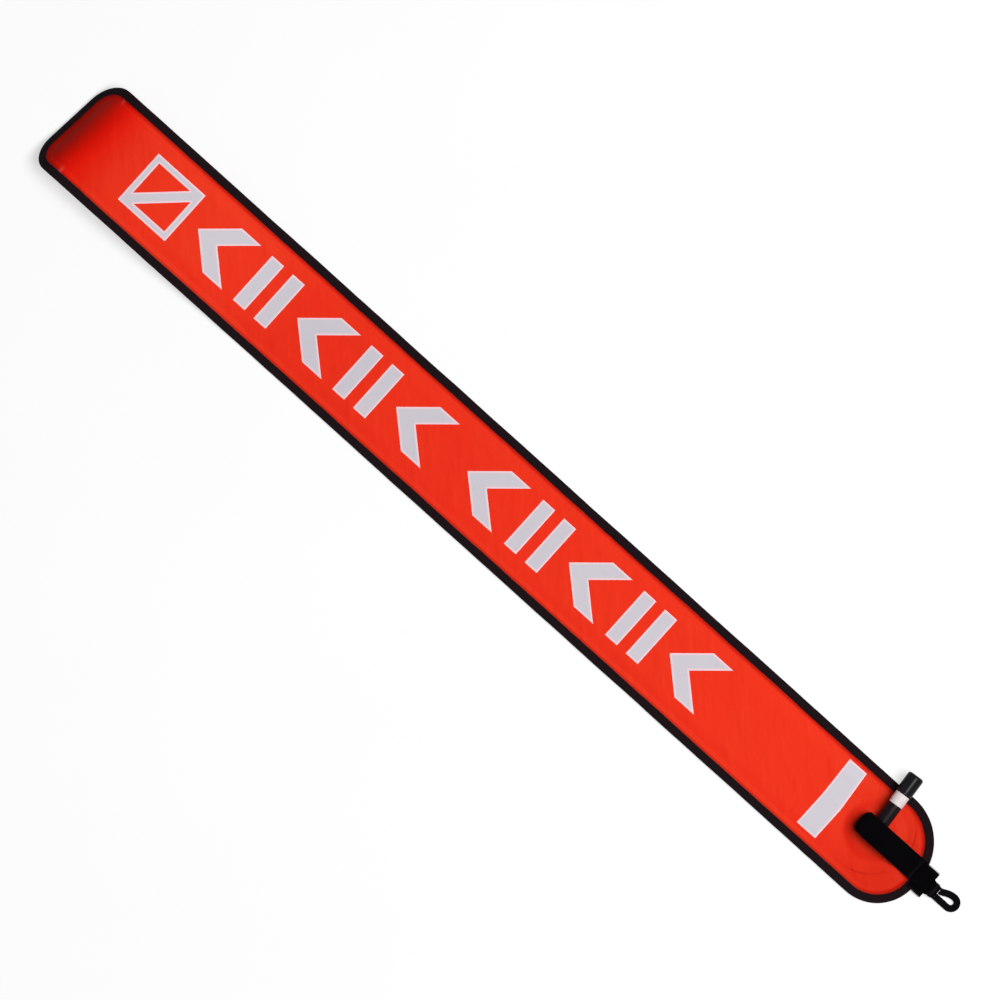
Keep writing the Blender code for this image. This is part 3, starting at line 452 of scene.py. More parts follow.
class NodeDesk:
    """Adds nodes to one node tree and joins their sockets."""

    def __init__(self, tree: bpy.types.NodeTree) -> None:
        """Keeps the tree that gets the nodes."""
        self.tree = tree

    def feed(self, socket: bpy.types.NodeSocket, value: Feed) -> None:
        """Joins or sets a socket.

        Args:
            socket: The input.
            value: Another node's output, or a plain value. A colour has three parts.
        """
        if isinstance(value, bpy.types.NodeSocket):
            self.tree.links.new(value, socket)
        else:
            socket.default_value = (*value, 1.0) if socket.type == "RGBA" else value

    def feed_all(self, node: bpy.types.Node, feeds: Mapping[str | int, Feed]) -> bpy.types.Node:
        """Feeds a node's inputs.

        Args:
            node: The node.
            feeds: What goes into its inputs, by name or number.

        Returns:
            The node.
        """
        for key, value in feeds.items():
            self.feed(node.inputs[key], value)
        return node

    def node(self, kind: str, feeds: Mapping[str | int, Feed], **settings: object) -> bpy.types.Node:
        """Adds a node.

        Args:
            kind: The node's type, without the word it starts with.
            feeds: What goes into its inputs.
            **settings: Its own settings.

        Returns:
            The node.
        """
        made = self.tree.nodes.new("ShaderNode" + kind)
        for key, value in settings.items():
            setattr(made, key, value)
        return self.feed_all(made, feeds)

    def maths(self, operation: str, *values: Feed) -> bpy.types.NodeSocket:
        """The result of a Math node on its operands."""
        return self.node("Math", dict(enumerate(values)), operation=operation).outputs[0]

    def times(self, first: Feed, second: Feed) -> bpy.types.NodeSocket:
        """The product of two values."""
        return self.maths("MULTIPLY", first, second)

    def uv(self, name: str) -> bpy.types.NodeSocket:
        """The coordinates of a pattern map."""
        return self.node("UVMap", {}, uv_map=name).outputs[0]

    def place(self) -> bpy.types.NodeSocket:
        """The piece's own coordinates."""
        return self.node("TexCoord", {}).outputs["Object"]

    def part(self, vector: Feed, axis: int) -> bpy.types.NodeSocket:
        """One part of a vector: 0 for X, 1 for Y or 2 for Z."""
        return self.node("SeparateXYZ", {0: vector}).outputs[axis]

    def ramp(
        self, value: Feed, low: float, high: float, first: Feed = 0.0, last: Feed = 1.0
    ) -> bpy.types.NodeSocket:
        """A smooth change from the first result to the last, as a value goes from low to high."""
        feeds = {"Value": value, "From Min": low, "From Max": high, "To Min": first, "To Max": last}
        return self.node("MapRange", feeds, interpolation_type="SMOOTHSTEP").outputs[0]

    def line(self, value: Feed, centre: float, half: float) -> bpy.types.NodeSocket:
        """A soft line: 1 at the centre value, and 0 from half its width on either side."""
        away = self.maths("ABSOLUTE", self.maths("SUBTRACT", value, centre))
        return self.ramp(away, 0.0, half, 1.0, 0.0)

    def grain(self, place: Feed, scale: Feed, detail: float = 2.0) -> bpy.types.NodeSocket:
        """A noise from 0 to 1, with about as many swings a metre as its scale."""
        return self.node("TexNoise", {"Vector": place, "Scale": scale, "Detail": detail}).outputs[0]

    def mixed(self, share: Feed, first: Feed, second: Feed) -> bpy.types.NodeSocket:
        """Two colours mixed, by the share of the second."""
        return self.node("Mix", {0: share, 6: first, 7: second}, data_type="RGBA").outputs[2]

    def group(self, tree: bpy.types.NodeTree, feeds: Mapping[str, Feed]) -> bpy.types.Node:
        """Adds a node group.

        Args:
            tree: The group.
            feeds: What goes into its inputs.

        Returns:
            The group's node.
        """
        made = self.tree.nodes.new("ShaderNodeGroup")
        made.node_tree = tree
        return self.feed_all(made, feeds)


class Effects:
    """The node groups that several finishes share, each made once."""

    def start(
        self, name: str, inputs: Sequence[str], output: Sequence[str]
    ) -> tuple[NodeDesk, bpy.types.NodeOutputs, bpy.types.NodeInputs]:
        """Begins a group.

        Args:
            name: Its name.
            inputs: Its inputs. Vector and Color are named for their kind, and the rest are numbers.
            output: Its outputs, named likewise.

        Returns:
            Its desk, what comes into it and what goes out.
        """
        tree = bpy.data.node_groups.new(name, "ShaderNodeTree")
        for labels, way in ((inputs, "INPUT"), (output, "OUTPUT")):
            for label in labels:
                kind = label if label in ("Vector", "Color") else "Float"
                tree.interface.new_socket(name=label, in_out=way, socket_type="NodeSocket" + kind)
        given, made = tree.nodes.new("NodeGroupInput"), tree.nodes.new("NodeGroupOutput")
        return NodeDesk(tree), given.outputs, made.inputs

    @functools.cached_property
    def weave(self) -> bpy.types.NodeTree:
        """Crossing threads, or ribs across the cloth, as a height from 0 to 1.

        Returns:
            The group.
        """
        desk, given, made = self.start("Weave", ("Vector", "Across Pitch", "Along Pitch", "Rib"), ("Height",))
        across = desk.maths("DIVIDE", desk.part(given["Vector"], 0), given["Across Pitch"])
        along = desk.maths("DIVIDE", desk.part(given["Vector"], 1), given["Along Pitch"])
        waves = [desk.maths("SINE", desk.times(value, math.tau)) for value in (across, along)]
        plain = desk.maths("MULTIPLY_ADD", desk.times(*waves), 0.5, 0.5)
        rib = desk.maths("ABSOLUTE", desk.maths("SINE", desk.times(along, math.pi)))
        gain = desk.times(desk.maths("SUBTRACT", rib, plain), given["Rib"])
        desk.feed(made["Height"], desk.maths("ADD", plain, gain))
        return desk.tree

    @functools.cached_property
    def tone(self) -> bpy.types.NodeTree:
        """A colour that wanders a little lighter and darker, and the value that it follows.

        Returns:
            The group.
        """
        desk, given, made = self.start("Tone", ("Color", "Vector", "Scale", "Amount"), ("Color", "Value"))
        broad = desk.grain(given["Vector"], given["Scale"])
        close = desk.grain(given["Vector"], desk.times(given["Scale"], 7.0), 3.0)
        value = desk.maths("ADD", desk.times(broad, 0.65), desk.times(close, 0.35))
        swing = desk.times(desk.maths("SUBTRACT", value, 0.5), 2.0)
        factor = desk.maths("MULTIPLY_ADD", swing, given["Amount"], 1.0)
        scaled = desk.node("VectorMath", {0: given["Color"], "Scale": factor}, operation="SCALE")
        desk.feed(made["Color"], scaled.outputs[0])
        desk.feed(made["Value"], value)
        return desk.tree

    @functools.cached_property
    def wear(self) -> bpy.types.NodeTree:
        """Where edges and corners are rubbed, as a mask.

        Returns:
            The group.
        """
        desk, given, made = self.start("Edge Wear", ("Vector", "Radius", "Amount"), ("Mask",))
        soft = desk.node("Bevel", {"Radius": given["Radius"]}, samples=4).outputs[0]
        true = desk.node("NewGeometry", {}).outputs["Normal"]
        match = desk.node("VectorMath", {0: soft, 1: true}, operation="DOT_PRODUCT").outputs["Value"]
        patch = desk.ramp(desk.grain(given["Vector"], 420.0), 0.38, 0.66)
        rubbed = desk.times(desk.ramp(match, 0.995, 0.86), patch)
        desk.feed(made["Mask"], desk.times(rubbed, given["Amount"]))
        return desk.tree

    @functools.cached_property
    def dust(self) -> bpy.types.NodeTree:
        """Pale lint and dust in specks on what faces up, as a mask.

        Returns:
            The group.
        """
        desk, given, made = self.start("Dust", ("Vector", "Scale", "Amount"), ("Mask",))
        specks = desk.grain(given["Vector"], given["Scale"], 4.0)
        up = desk.part(desk.node("NewGeometry", {}).outputs["Normal"], 2)
        lying = desk.times(desk.ramp(specks, 0.56, 0.78), desk.ramp(up, 0.1, 0.9))
        desk.feed(made["Mask"], desk.times(lying, given["Amount"]))
        return desk.tree


EFFECTS = Effects()


class Surface(NodeDesk):
    """A new material's nodes, up to its Principled shader."""

    def __init__(self, name: str, fixed: Mapping[str, Feed]) -> None:
        """Makes the material.

        Args:
            name: Its name.
            fixed: The shader's values that are the same all over.
        """
        self.made = bpy.data.materials.new(name)
        self.made.use_nodes = True
        super().__init__(self.made.node_tree)
        self.shader = self.feed_all(self.tree.nodes["Principled BSDF"], fixed)

    def weave(self, cloth: Feed, across: float, along: float, rib: float) -> bpy.types.NodeSocket:
        """The threads of a cloth, at a pitch each way."""
        feeds = {"Vector": cloth, "Across Pitch": across, "Along Pitch": along, "Rib": rib}
        return self.group(EFFECTS.weave, feeds).outputs[0]

    def tone(
        self, colour: Colour, place: Feed, scale: float, amount: float
    ) -> Sequence[bpy.types.NodeSocket]:
        """The wandering colour, and the value that it follows."""
        feeds = {"Color": colour, "Vector": place, "Scale": scale, "Amount": amount}
        return self.group(EFFECTS.tone, feeds).outputs[:]

    def dust(self, place: Feed, scale: float, amount: float) -> bpy.types.NodeSocket:
        """The mask of the dust."""
        return self.group(EFFECTS.dust, {"Vector": place, "Scale": scale, "Amount": amount}).outputs[0]

    def finish(
        self, colour: Feed, roughness: Feed, heights: Sequence[tuple[Feed, float]]
    ) -> bpy.types.Material:
        """Feeds the shader its colour, its roughness and a Normal from real heights.

        Args:
            colour: The colour.
            roughness: The roughness.
            heights: Each pattern from 0 to 1, with its full height in metres.

        Returns:
            The finished material.
        """
        total: Feed = 0.0
        for pattern, height in heights:
            total = self.maths("MULTIPLY_ADD", pattern, height, total)
        bump = self.node("Bump", {"Height": total, "Distance": 1.0, "Strength": 1.0}).outputs[0]
        self.feed_all(self.shader, {"Base Color": colour, "Roughness": roughness, "Normal": bump})
        return self.made


@dataclass(frozen=True)
class CoatedFabric:
    """Bright coated nylon: a faint weave under the coating, with weld lines, creases and soft patches. Its
    colour also holds painted shade in the creases, beside the tape, towards the bottom end and over the top
    end's fold, and painted highlights on the weld lines and the pucker.
    """

    name: str = "coated_fabric"
    colour: Colour = (0.912, 0.0265, 0.0105)
    glint: Colour = (1.0, 0.62, 0.20)
    # Painted shade: dark red laid into the crease ring and the wrinkles.
    crease_shade: Colour = (0.40, 0.006, 0.003)
    # Painted shade: darker red towards the bottom end.
    lower: Colour = (0.58, 0.008, 0.004)
    # Painted shade: a deeper, less orange red over the top end's fold.
    folded: Colour = (0.88, 0.0055, 0.002)
    # Painted shade: dark red over the last of the top end's fold.
    top_end_shade: Colour = (0.36, 0.004, 0.002)
    # Painted shadow: dark red on the fabric just inside the tape.
    tape_shadow: Colour = (0.30, 0.004, 0.002)
    # Painted highlight: pale pink along the pucker near the top end.
    pucker_highlight: Colour = (0.95, 0.20, 0.16)
    # Painted highlight: pale pink along the weld lines.
    weld_highlight: Colour = (1.0, 0.18, 0.12)
    linted: Colour = (0.9, 0.45, 0.38)
    pitch: float = 0.8 * MM
    weld: float = 14.4 * MM
    crease: float = 46.0 * MM
    pucker: float = 538.5 * MM
    # Where the painted shade lies: along the bag for the bottom end, the fold and the top end, and in from
    # the edge beside the tape.
    bottom_shade_span: Plan = (-575 * MM, -420 * MM)
    fold_shade_span: Plan = (490 * MM, 535 * MM)
    top_end_shade_span: Plan = (529 * MM, 566 * MM)
    tape_shadow_span: Plan = (9.2 * MM, 12.5 * MM)
    drape_turn: float = -0.75
    drape_stretch: float = 4.0

    def material(self) -> bpy.types.Material:
        """Makes the finish.

        Returns:
            The material.
        """
        skin = Surface(self.name, {"Specular IOR Level": 0.10, "Specular Tint": self.glint})
        plan, edge = skin.uv("plan"), skin.uv("edge")
        along, inset, reach = skin.part(plan, 1), skin.part(edge, 0), skin.part(edge, 1)
        colour, value = skin.tone(self.colour, plan, 11.0, 0.09)
        broken = skin.ramp(skin.grain(plan, 38.0), 0.36, 0.62)
        uneven = skin.ramp(skin.grain(plan, 16.0), 0.3, 0.55, 0.35, 1.0)
        welds = skin.times(skin.line(inset, self.weld, 0.9 * MM), uneven)
        welds = skin.times(welds, skin.ramp(along, -500 * MM, -450 * MM, 0.3, 1.0))
        ring = skin.times(skin.line(reach, self.crease, 2.0 * MM), broken)
        ring = skin.times(ring, skin.ramp(along, -515 * MM, -490 * MM, 1.0, 0.0))
        pucker = skin.times(
            skin.line(along, self.pucker, 3.2 * MM), skin.ramp(inset, 9 * MM, 19 * MM, 1.0, 0.0)
        )
        wrinkle = skin.times(skin.line(skin.grain(plan, 17.0, 1.0), 0.5, 0.018), broken)
        wrinkles = skin.times(wrinkle, skin.ramp(reach, 40 * MM, 90 * MM, 1.0, 0.25))
        layers = (
            # Painted shade in the crease ring and the wrinkles, which are also real dents in the heights
            # below.
            (skin.maths("ADD", skin.times(ring, 0.55), skin.times(wrinkles, 0.16)), self.crease_shade),
            # Painted shade towards the bottom end.
            (skin.ramp(along, *self.bottom_shade_span, 0.62, 0.0), self.lower),
            # Painted shade: a deeper red over the top end's fold.
            (skin.ramp(along, *self.fold_shade_span, 0.0, 0.9), self.folded),
            # Painted shade over the last of the fold at the top end.
            (skin.ramp(along, *self.top_end_shade_span, 0.0, 0.85), self.top_end_shade),
            # Painted shadow on the fabric beside the tape.
            (skin.ramp(inset, *self.tape_shadow_span, 0.62, 0.0), self.tape_shadow),
            # Painted highlight on the pucker, which is also a real ridge in the heights below.
            (skin.times(pucker, 0.22), self.pucker_highlight),
            # Painted highlight on the weld lines, which are also real ridges in the heights below.
            (skin.times(welds, 0.07), self.weld_highlight),
            (skin.dust(plan, 900.0, 0.05), self.linted),
        )
        for share, tint in layers:
            colour = skin.mixed(share, colour, tint)
        slant = {"Vector": plan, "Rotation": (0, 0, self.drape_turn), "Scale": (1.0, self.drape_stretch, 1.0)}
        slanted = skin.node("Mapping", slant, vector_type="TEXTURE").outputs[0]
        heights = (
            (skin.weave(plan, self.pitch, self.pitch, 0.0), 0.012 * MM),
            (welds, 0.16 * MM),
            (ring, -0.18 * MM),
            (wrinkles, -0.14 * MM),
            (skin.grain(plan, 55.0, 3.0), 0.12 * MM),
            (skin.ramp(skin.grain(slanted, 62.0), 0.42, 0.72), 0.24 * MM),
            (pucker, 0.4 * MM),
        )
        return skin.finish(colour, skin.ramp(value, 0.3, 0.7, 0.40, 0.50), heights)


@dataclass(frozen=True)
class ReflectiveFilm:
    """Pale retroreflective film, beaded all over and pressed on by heat, with a painted highlight round its
    edge.
    """

    name: str = "reflective_film"
    colour: Colour = (0.66, 0.62, 0.68)
    beaded: Colour = (0.40, 0.38, 0.42)
    scuffed: Colour = (0.60, 0.44, 0.46)
    # Painted highlight: the pale pink band round each film's edge, between the two distances of the span
    # below.
    rim_highlight: Colour = (0.95, 0.68, 0.73)
    rim: Plan = (1.2 * MM, 2.3 * MM)

    def material(self) -> bpy.types.Material:
        """Makes the finish.

        Returns:
            The material.
        """
        skin = Surface(self.name, {"Specular IOR Level": 0.18})
        place = skin.place()
        colour, value = skin.tone(self.colour, place, 24.0, 0.06)
        beads = skin.node("TexVoronoi", {"Vector": place, "Scale": 1300.0}).outputs["Distance"]
        scuffs = skin.times(skin.ramp(skin.grain(place, 150.0, 4.0), 0.60, 0.74), 0.25)
        # Painted highlight round the film's edge, from the inset ring's distance map.
        rim = skin.ramp(skin.part(skin.uv("edge"), 0), *self.rim, 0.9, 0.0)
        tints = ((skin.times(beads, 0.12), self.beaded), (scuffs, self.scuffed), (rim, self.rim_highlight))
        for share, tint in tints:
            colour = skin.mixed(share, colour, tint)
        roughness = skin.ramp(value, 0.3, 0.7, 0.38, 0.52)
        return skin.finish(colour, roughness, ((beads, 0.02 * MM), (scuffs, -0.02 * MM)))


@dataclass(frozen=True)
class WovenBand:
    """A black woven band: ribbed tape, strap webbing, or the threads of a seam."""

    name: str
    colour: Colour
    tint: Colour
    across: float
    along: float
    rib: float
    depth: float
    selvage: float = 1.0
    lint: float = 0.08
    sheen: float = 0.02
    shine: float = 0.06
    linted: Colour = (0.10, 0.09, 0.10)

    def material(self) -> bpy.types.Material:
        """Makes the finish.

        Returns:
            The material.
        """
        fixed = {"Specular IOR Level": self.shine, "Sheen Weight": self.sheen, "Sheen Roughness": 0.45}
        skin = Surface(self.name, fixed)
        cloth = skin.uv("cloth")
        threads = skin.weave(cloth, self.across, self.along, self.rib)
        colour = skin.tone(self.colour, cloth, 70.0, 0.35)[0]
        away = skin.maths("ABSOLUTE", skin.part(cloth, 0))
        layers = (
            (skin.times(threads, 0.35), self.tint),
            (skin.times(skin.ramp(away, self.selvage - 0.5 * MM, self.selvage), 0.55), self.tint),
            (skin.dust(cloth, 1500.0, self.lint), self.linted),
        )
        for share, tint in layers:
            colour = skin.mixed(share, colour, tint)
        heights = ((threads, self.depth), (skin.grain(cloth, 2600.0, 3.0), 0.03 * MM))
        return skin.finish(colour, skin.ramp(threads, 0.0, 1.0, 0.95, 0.80), heights)


@dataclass(frozen=True)
class MouldedPlastic:
    """Moulded plastic with a fine grain, flow marks and rubbed edges."""

    name: str
    colour: Colour
    rubbed: Colour
    gloss: tuple[float, float]
    shine: float
    grain: float = 0.004 * MM
    dusty: Colour = (0.20, 0.19, 0.19)

    def material(self) -> bpy.types.Material:
        """Makes the finish.

        Returns:
            The material.
        """
        skin = Surface(self.name, {"Specular IOR Level": self.shine})
        place = skin.place()
        colour, value = skin.tone(self.colour, place, 60.0, 0.25)
        wear = skin.group(EFFECTS.wear, {"Vector": place, "Radius": 0.35 * MM, "Amount": 0.5}).outputs[0]
        colour = skin.mixed(wear, colour, self.rubbed)
        colour = skin.mixed(skin.dust(place, 1100.0, 0.08), colour, self.dusty)
        roughness = skin.maths("ADD", skin.ramp(value, 0.3, 0.7, *self.gloss), skin.times(wear, 0.25))
        heights = ((skin.grain(place, 2400.0, 3.0), self.grain), (skin.grain(place, 130.0, 1.0), 0.02 * MM))
        return skin.finish(colour, roughness, heights)


@dataclass(frozen=True)
class SealRubber:
    """Matt rubber of the seals, with a bloom on it."""

    name: str = "seal_rubber"
    colour: Colour = (0.022, 0.022, 0.023)
    bloomed: Colour = (0.09, 0.09, 0.09)

    def material(self) -> bpy.types.Material:
        """Makes the finish.

        Returns:
            The material.
        """
        skin = Surface(self.name, {"Specular IOR Level": 0.3})
        place = skin.place()
        colour, value = skin.tone(self.colour, place, 90.0, 0.3)
        bloom = skin.times(skin.ramp(skin.grain(place, 300.0, 4.0), 0.5, 0.75), 0.25)
        colour = skin.mixed(bloom, colour, self.bloomed)
        heights = ((skin.grain(place, 1800.0, 3.0), 0.01 * MM),)
        return skin.finish(colour, skin.ramp(value, 0.3, 0.7, 0.55, 0.72), heights)


@dataclass(frozen=True)
class BrushedSteel:
    """Stainless steel, drawn or turned, with fine lines and a dulled patch here and there."""

    name: str = "stainless_steel"
    colour: Colour = (0.56, 0.55, 0.53)
    lines: tuple[float, float, float] = (300.0, 6000.0, 6000.0)

    def material(self) -> bpy.types.Material:
        """Makes the finish.

        Returns:
            The material.
        """
        skin = Surface(self.name, {"Metallic": 1.0})
        place = skin.place()
        colour = skin.tone(self.colour, place, 120.0, 0.15)[0]
        fine = skin.grain(skin.node("Mapping", {"Vector": place, "Scale": self.lines}).outputs[0], 1.0)
        return skin.finish(colour, skin.ramp(fine, 0.3, 0.7, 0.22, 0.38), ((fine, 0.003 * MM),))


@dataclass(frozen=True)
class Finishes:
    """Every material of the buoy, made once."""

    fabric: bpy.types.Material
    film: bpy.types.Material
    tape: bpy.types.Material
    webbing: bpy.types.Material
    thread: bpy.types.Material
    cord: bpy.types.Material
    barrel: bpy.types.Material
    mouthpiece: bpy.types.Material
    fitting: bpy.types.Material
    sleeve: bpy.types.Material
    rubber: bpy.types.Material
    steel: bpy.types.Material

    @classmethod
    def make(cls) -> "Finishes":
        """Makes them all.

        Returns:
            The finishes.
        """
        kinds = {
            "fabric": CoatedFabric(),
            "film": ReflectiveFilm(),
            "tape": WovenBand(
                "edge_tape", (0.0085, 0.0030, 0.0048), (0.016, 0.011, 0.014),
                across=1.4 * MM, along=1.0 * MM, rib=0.9, depth=0.10 * MM,
            ),
            "webbing": WovenBand(
                "webbing", (0.0013, 0.0010, 0.0016), (0.0044, 0.0038, 0.0050),
                across=1.7 * MM, along=1.3 * MM, rib=0.35, depth=0.16 * MM,
                selvage=12.3 * MM, lint=0.02, sheen=0.004, shine=0.012,
            ),
            "thread": WovenBand(
                "thread", (0.0060, 0.0045, 0.0060), (0.014, 0.011, 0.014),
                across=0.5 * MM, along=0.5 * MM, rib=0.2, depth=0.03 * MM, lint=0.03, sheen=0.01, shine=0.05,
            ),
            "cord": WovenBand(
                "cord", (0.0026, 0.0022, 0.0032), (0.0085, 0.0078, 0.0095),
                across=0.45 * MM, along=0.45 * MM, rib=0.2, depth=0.04 * MM,
                lint=0.02, sheen=0.006, shine=0.025,
            ),
            "barrel": MouldedPlastic(
                "barrel_plastic", (0.0064, 0.0028, 0.0042), (0.028, 0.022, 0.026), (0.26, 0.38), 0.06
            ),
            "mouthpiece": MouldedPlastic(
                "mouthpiece_plastic", (0.0038, 0.0035, 0.0048), (0.030, 0.030, 0.034), (0.13, 0.19), 0.09
            ),
            "fitting": MouldedPlastic(
                "fitting_plastic", (0.0065, 0.0058, 0.0065), (0.03, 0.03, 0.03), (0.38, 0.52), 0.12
            ),
            "sleeve": MouldedPlastic(
                "white_sleeve", (0.79, 0.70, 0.70), (0.62, 0.56, 0.56), (0.40, 0.52), 0.2, grain=0.006 * MM
            ),
            "rubber": SealRubber(),
            "steel": BrushedSteel(),
        }
        return cls(**{name: kind.material() for name, kind in kinds.items()})


# The bag

@dataclass(frozen=True)
class BagShape:
    """The bag as it is cut, its layers' heights, and the fold that its top end is left with."""

    width: float = 115 * MM
    length: float = 1151 * MM
    left_radius: float = 25 * MM
    right_radius: float = 33 * MM
    bottom_straight: float = 9.5 * MM
    slant: float = math.radians(5.1)
    fold_angle: float = math.radians(48)
    fold_bend: float = 42 * MM
    fold_straight: float = 18 * MM
    fold_clear: float = 0.5 * MM
    fold_rise: float = 250 * MM
    step: float = 2 * MM
    gap: float = 0.3 * MM
    fabric: float = 0.5 * MM
    tape: float = 0.9 * MM
    tape_width: float = 8.7 * MM
    rim_slope: float = 3.5 * MM
    corner_kick: float = 6 * MM
    valve: Plan = (6.5 * MM, -509.7 * MM)
    neck_hole: float = 9.5 * MM
    crease_centre: Plan = (5.5 * MM, -503.5 * MM)
    flange_top: float = 2.6 * MM
    bump_radius: float = 21 * MM
    bump_slope: float = 12 * MM

    @property
    def bottom(self) -> float:
        """Y of the bottom end."""
        return -self.length / 2

    @property
    def top(self) -> float:
        """Y of the top end's line at the middle, before it is folded."""
        return self.length / 2

    @property
    def crest(self) -> float:
        """Distance along at which the fold starts down."""
        return self.top - self.fold_bend - self.fold_straight

    @property
    def tape_top(self) -> float:
        """Height of the tape's upper face."""
        return 2 * self.tape + 3 * self.gap + 2 * self.fabric

    @property
    def flat_top(self) -> float:
        """Height of the front sheet's face away from the rim."""
        return 2 * self.fabric + self.gap

    @property
    def rim_top(self) -> float:
        """Height of the front sheet's face where the tape holds it."""
        return self.tape + 2 * self.gap + 2 * self.fabric

    @property
    def bump_top(self) -> float:
        """Height of the front sheet's face over the flange."""
        return self.flange_top + self.gap + self.fabric

    def slope(self, along: float) -> float:
        """Slope of the underside.

        Args:
            along: Distance along the bag.

        Returns:
            The slope, up to the crest and then down in the fold.
        """
        if along > self.crest:
            return -self.fold_angle * ease((along - self.crest) / self.fold_bend)
        share = max(0.0, 1 - (self.crest - along) / self.fold_rise)
        return math.asin(6 * share * (1 - share) * self.fold_height / self.fold_rise)

    @functools.cached_property
    def fold_height(self) -> float:
        """Height of the crest, from which the fold comes down to the ground.

        Returns:
            The height.
        """
        steps = round(self.fold_bend / self.step)
        bend = sum(math.sin(self.fold_angle * ease((i + 0.5) / steps)) for i in range(steps)) / steps
        return self.fold_bend * bend + self.fold_straight * math.sin(self.fold_angle) + self.fold_clear

    @functools.cached_property
    def fold_table(self) -> list[Plan]:
        """Y and Z of the underside, closely spaced from where the rise starts.

        Returns:
            The pairs, a quarter of a step apart.
        """
        size = self.step / 4
        y, z = self.crest - self.fold_rise, 0.0
        out = [(y, z)]
        for i in range(round((self.fold_rise + self.fold_bend + self.fold_straight) / size) + 8):
            slope = self.slope(self.crest - self.fold_rise + (i + 0.5) * size)
            y += size * math.cos(slope)
            z += size * math.sin(slope)
            out.append((y, z))
        return out

    def place(self, x: float, y: float, up: float) -> Vector:
        """Where a point of the flat bag lies.

        Args:
            x: Its place across the cut bag.
            y: Its place along the cut bag.
            up: Its height over the underside.

        Returns:
            The point in the frame.
        """
        across, ahead = math.sin(self.slant), math.cos(self.slant)
        distance = x * across + (y - self.crest) * ahead
        size = self.step / 4
        at = (distance + self.fold_rise) / size
        if at <= 0:
            return Vector((x, y, up))
        low = min(int(at), len(self.fold_table) - 2)
        first, second = self.fold_table[low], self.fold_table[low + 1]
        there, z = (a + (b - a) * (at - low) for a, b in zip(first, second))
        slope = self.slope(self.crest + distance)
        shift = there - self.crest - distance - up * math.sin(slope)
        kick = self.corner_kick * ease(distance / (0.05 - x * 0.1)) * ease((-x - 4 * MM) / (50 * MM))
        return Vector((x + shift * across, y + shift * ahead, z + up * math.cos(slope) + kick))

    def top_corner(self, side: int, radius: float) -> Plan:
        """Centre of a rounded corner of the top end, on the left side, -1, or the right, 1."""
        x = side * (self.width / 2 - radius)
        return x, self.top - (radius + x * math.sin(self.slant)) / math.cos(self.slant)

    def inset(self, x: float, y: float) -> float:
        """Distance in from the cut edge.

        Args:
            x: Place across.
            y: Place along.

        Returns:
            The distance, negative outside the bag.
        """
        half = self.width / 2
        left = half - self.bottom_straight
        if x > 0 and y < self.bottom + half:
            return half - math.hypot(x, y - self.bottom - half)
        if x < -self.bottom_straight and y < self.bottom + left:
            return left - math.hypot(x + self.bottom_straight, y - self.bottom - left)
        if y < self.bottom + half:
            return min(half - abs(x), y - self.bottom)
        ahead = Vector((math.sin(self.slant), math.cos(self.slant)))
        side = 1 if x > 0 else -1
        radius = self.right_radius if side > 0 else self.left_radius
        centre = Vector(self.top_corner(side, radius))
        away = Vector((x, y)) - centre
        if side * away.x > 0 and away.dot(ahead) > 0:
            return radius - away.length
        return min(half - abs(x), radius - away.dot(ahead))

    def outline(self, inset: float) -> list[Plan]:
        """Closely spaced points round the bag, anticlockwise from its left side.

        Args:
            inset: Distance in from the cut edge.

        Returns:
            The points, of the same number for any inset.
        """
        half = self.width / 2
        turn = 90 - math.degrees(self.slant)
        right = arc(self.top_corner(1, self.right_radius), self.right_radius - inset, 0, turn, 14)
        left = arc(self.top_corner(-1, self.left_radius), self.left_radius - inset, turn, 180, 12)
        straight = self.bottom_straight
        foot = arc((-straight, self.bottom + half - straight), half - straight - inset, 180, 270, 30)
        foot += [(-straight * (1 - i / 4), self.bottom + inset) for i in (1, 2, 3)]
        foot += arc((0, self.bottom + half), half - inset, 270, 360, 34)
        out = []
        for run, count in ((foot, 340), (right, 24), (left, 340)):
            out += run
            after = {id(foot): right, id(right): left, id(left): foot}[id(run)][0]
            last = run[-1]
            out += [tuple(a + (b - a) * i / count for a, b in zip(last, after)) for i in range(1, count)]
        return out

    def relief(self, x: float, y: float) -> float:
        """How far the two sheets are lifted together off the flat.

        Args:
            x: Place across.
            y: Place along.

        Returns:
            The lift: soft waves from lying rolled, and slack between them.
        """
        from_edge = ease((self.inset(x, y) - 9 * MM) / (18 * MM))
        reach = math.hypot(x - self.valve[0], y - self.valve[1])
        strap = ease((abs(x - 6 * MM) - 13 * MM) / (8 * MM)) if y < self.valve[1] + 19 * MM else 1.0
        clear = from_edge * ease((reach - 30 * MM) / (16 * MM)) * strap
        broad = 0.5 + 0.5 * rough(x * 1.6, y, 7.0, 0.3)
        slack = 0.5 + 0.5 * rough(x * 0.7, y, 21.0, 4.1)
        rolled = 0.5 + 0.5 * math.sin(math.tau * (y + 0.35 * x) / 0.118)
        return clear * (1.1 * broad + 0.55 * slack + 0.30 * rolled) * MM

    def face(self, x: float, y: float, side: Side = Side.FRONT) -> float:
        """Height of a sheet's outer face over the underside line.

        Args:
            x: Place across.
            y: Place along.
            side: Which sheet.

        Returns:
            The height.
        """
        rim = 1 - ease((self.inset(x, y) - self.tape_width - self.gap) / self.rim_slope)
        if side is Side.REAR:
            return self.relief(x, y) + rim * (self.tape + self.gap)
        reach = math.hypot(x - self.valve[0], y - self.valve[1])
        bump = ease((self.bump_radius + self.bump_slope - reach) / self.bump_slope)
        rise = max(rim * (self.rim_top - self.flat_top), bump * (self.bump_top - self.flat_top))
        return self.flat_top + rise + self.relief(x, y)

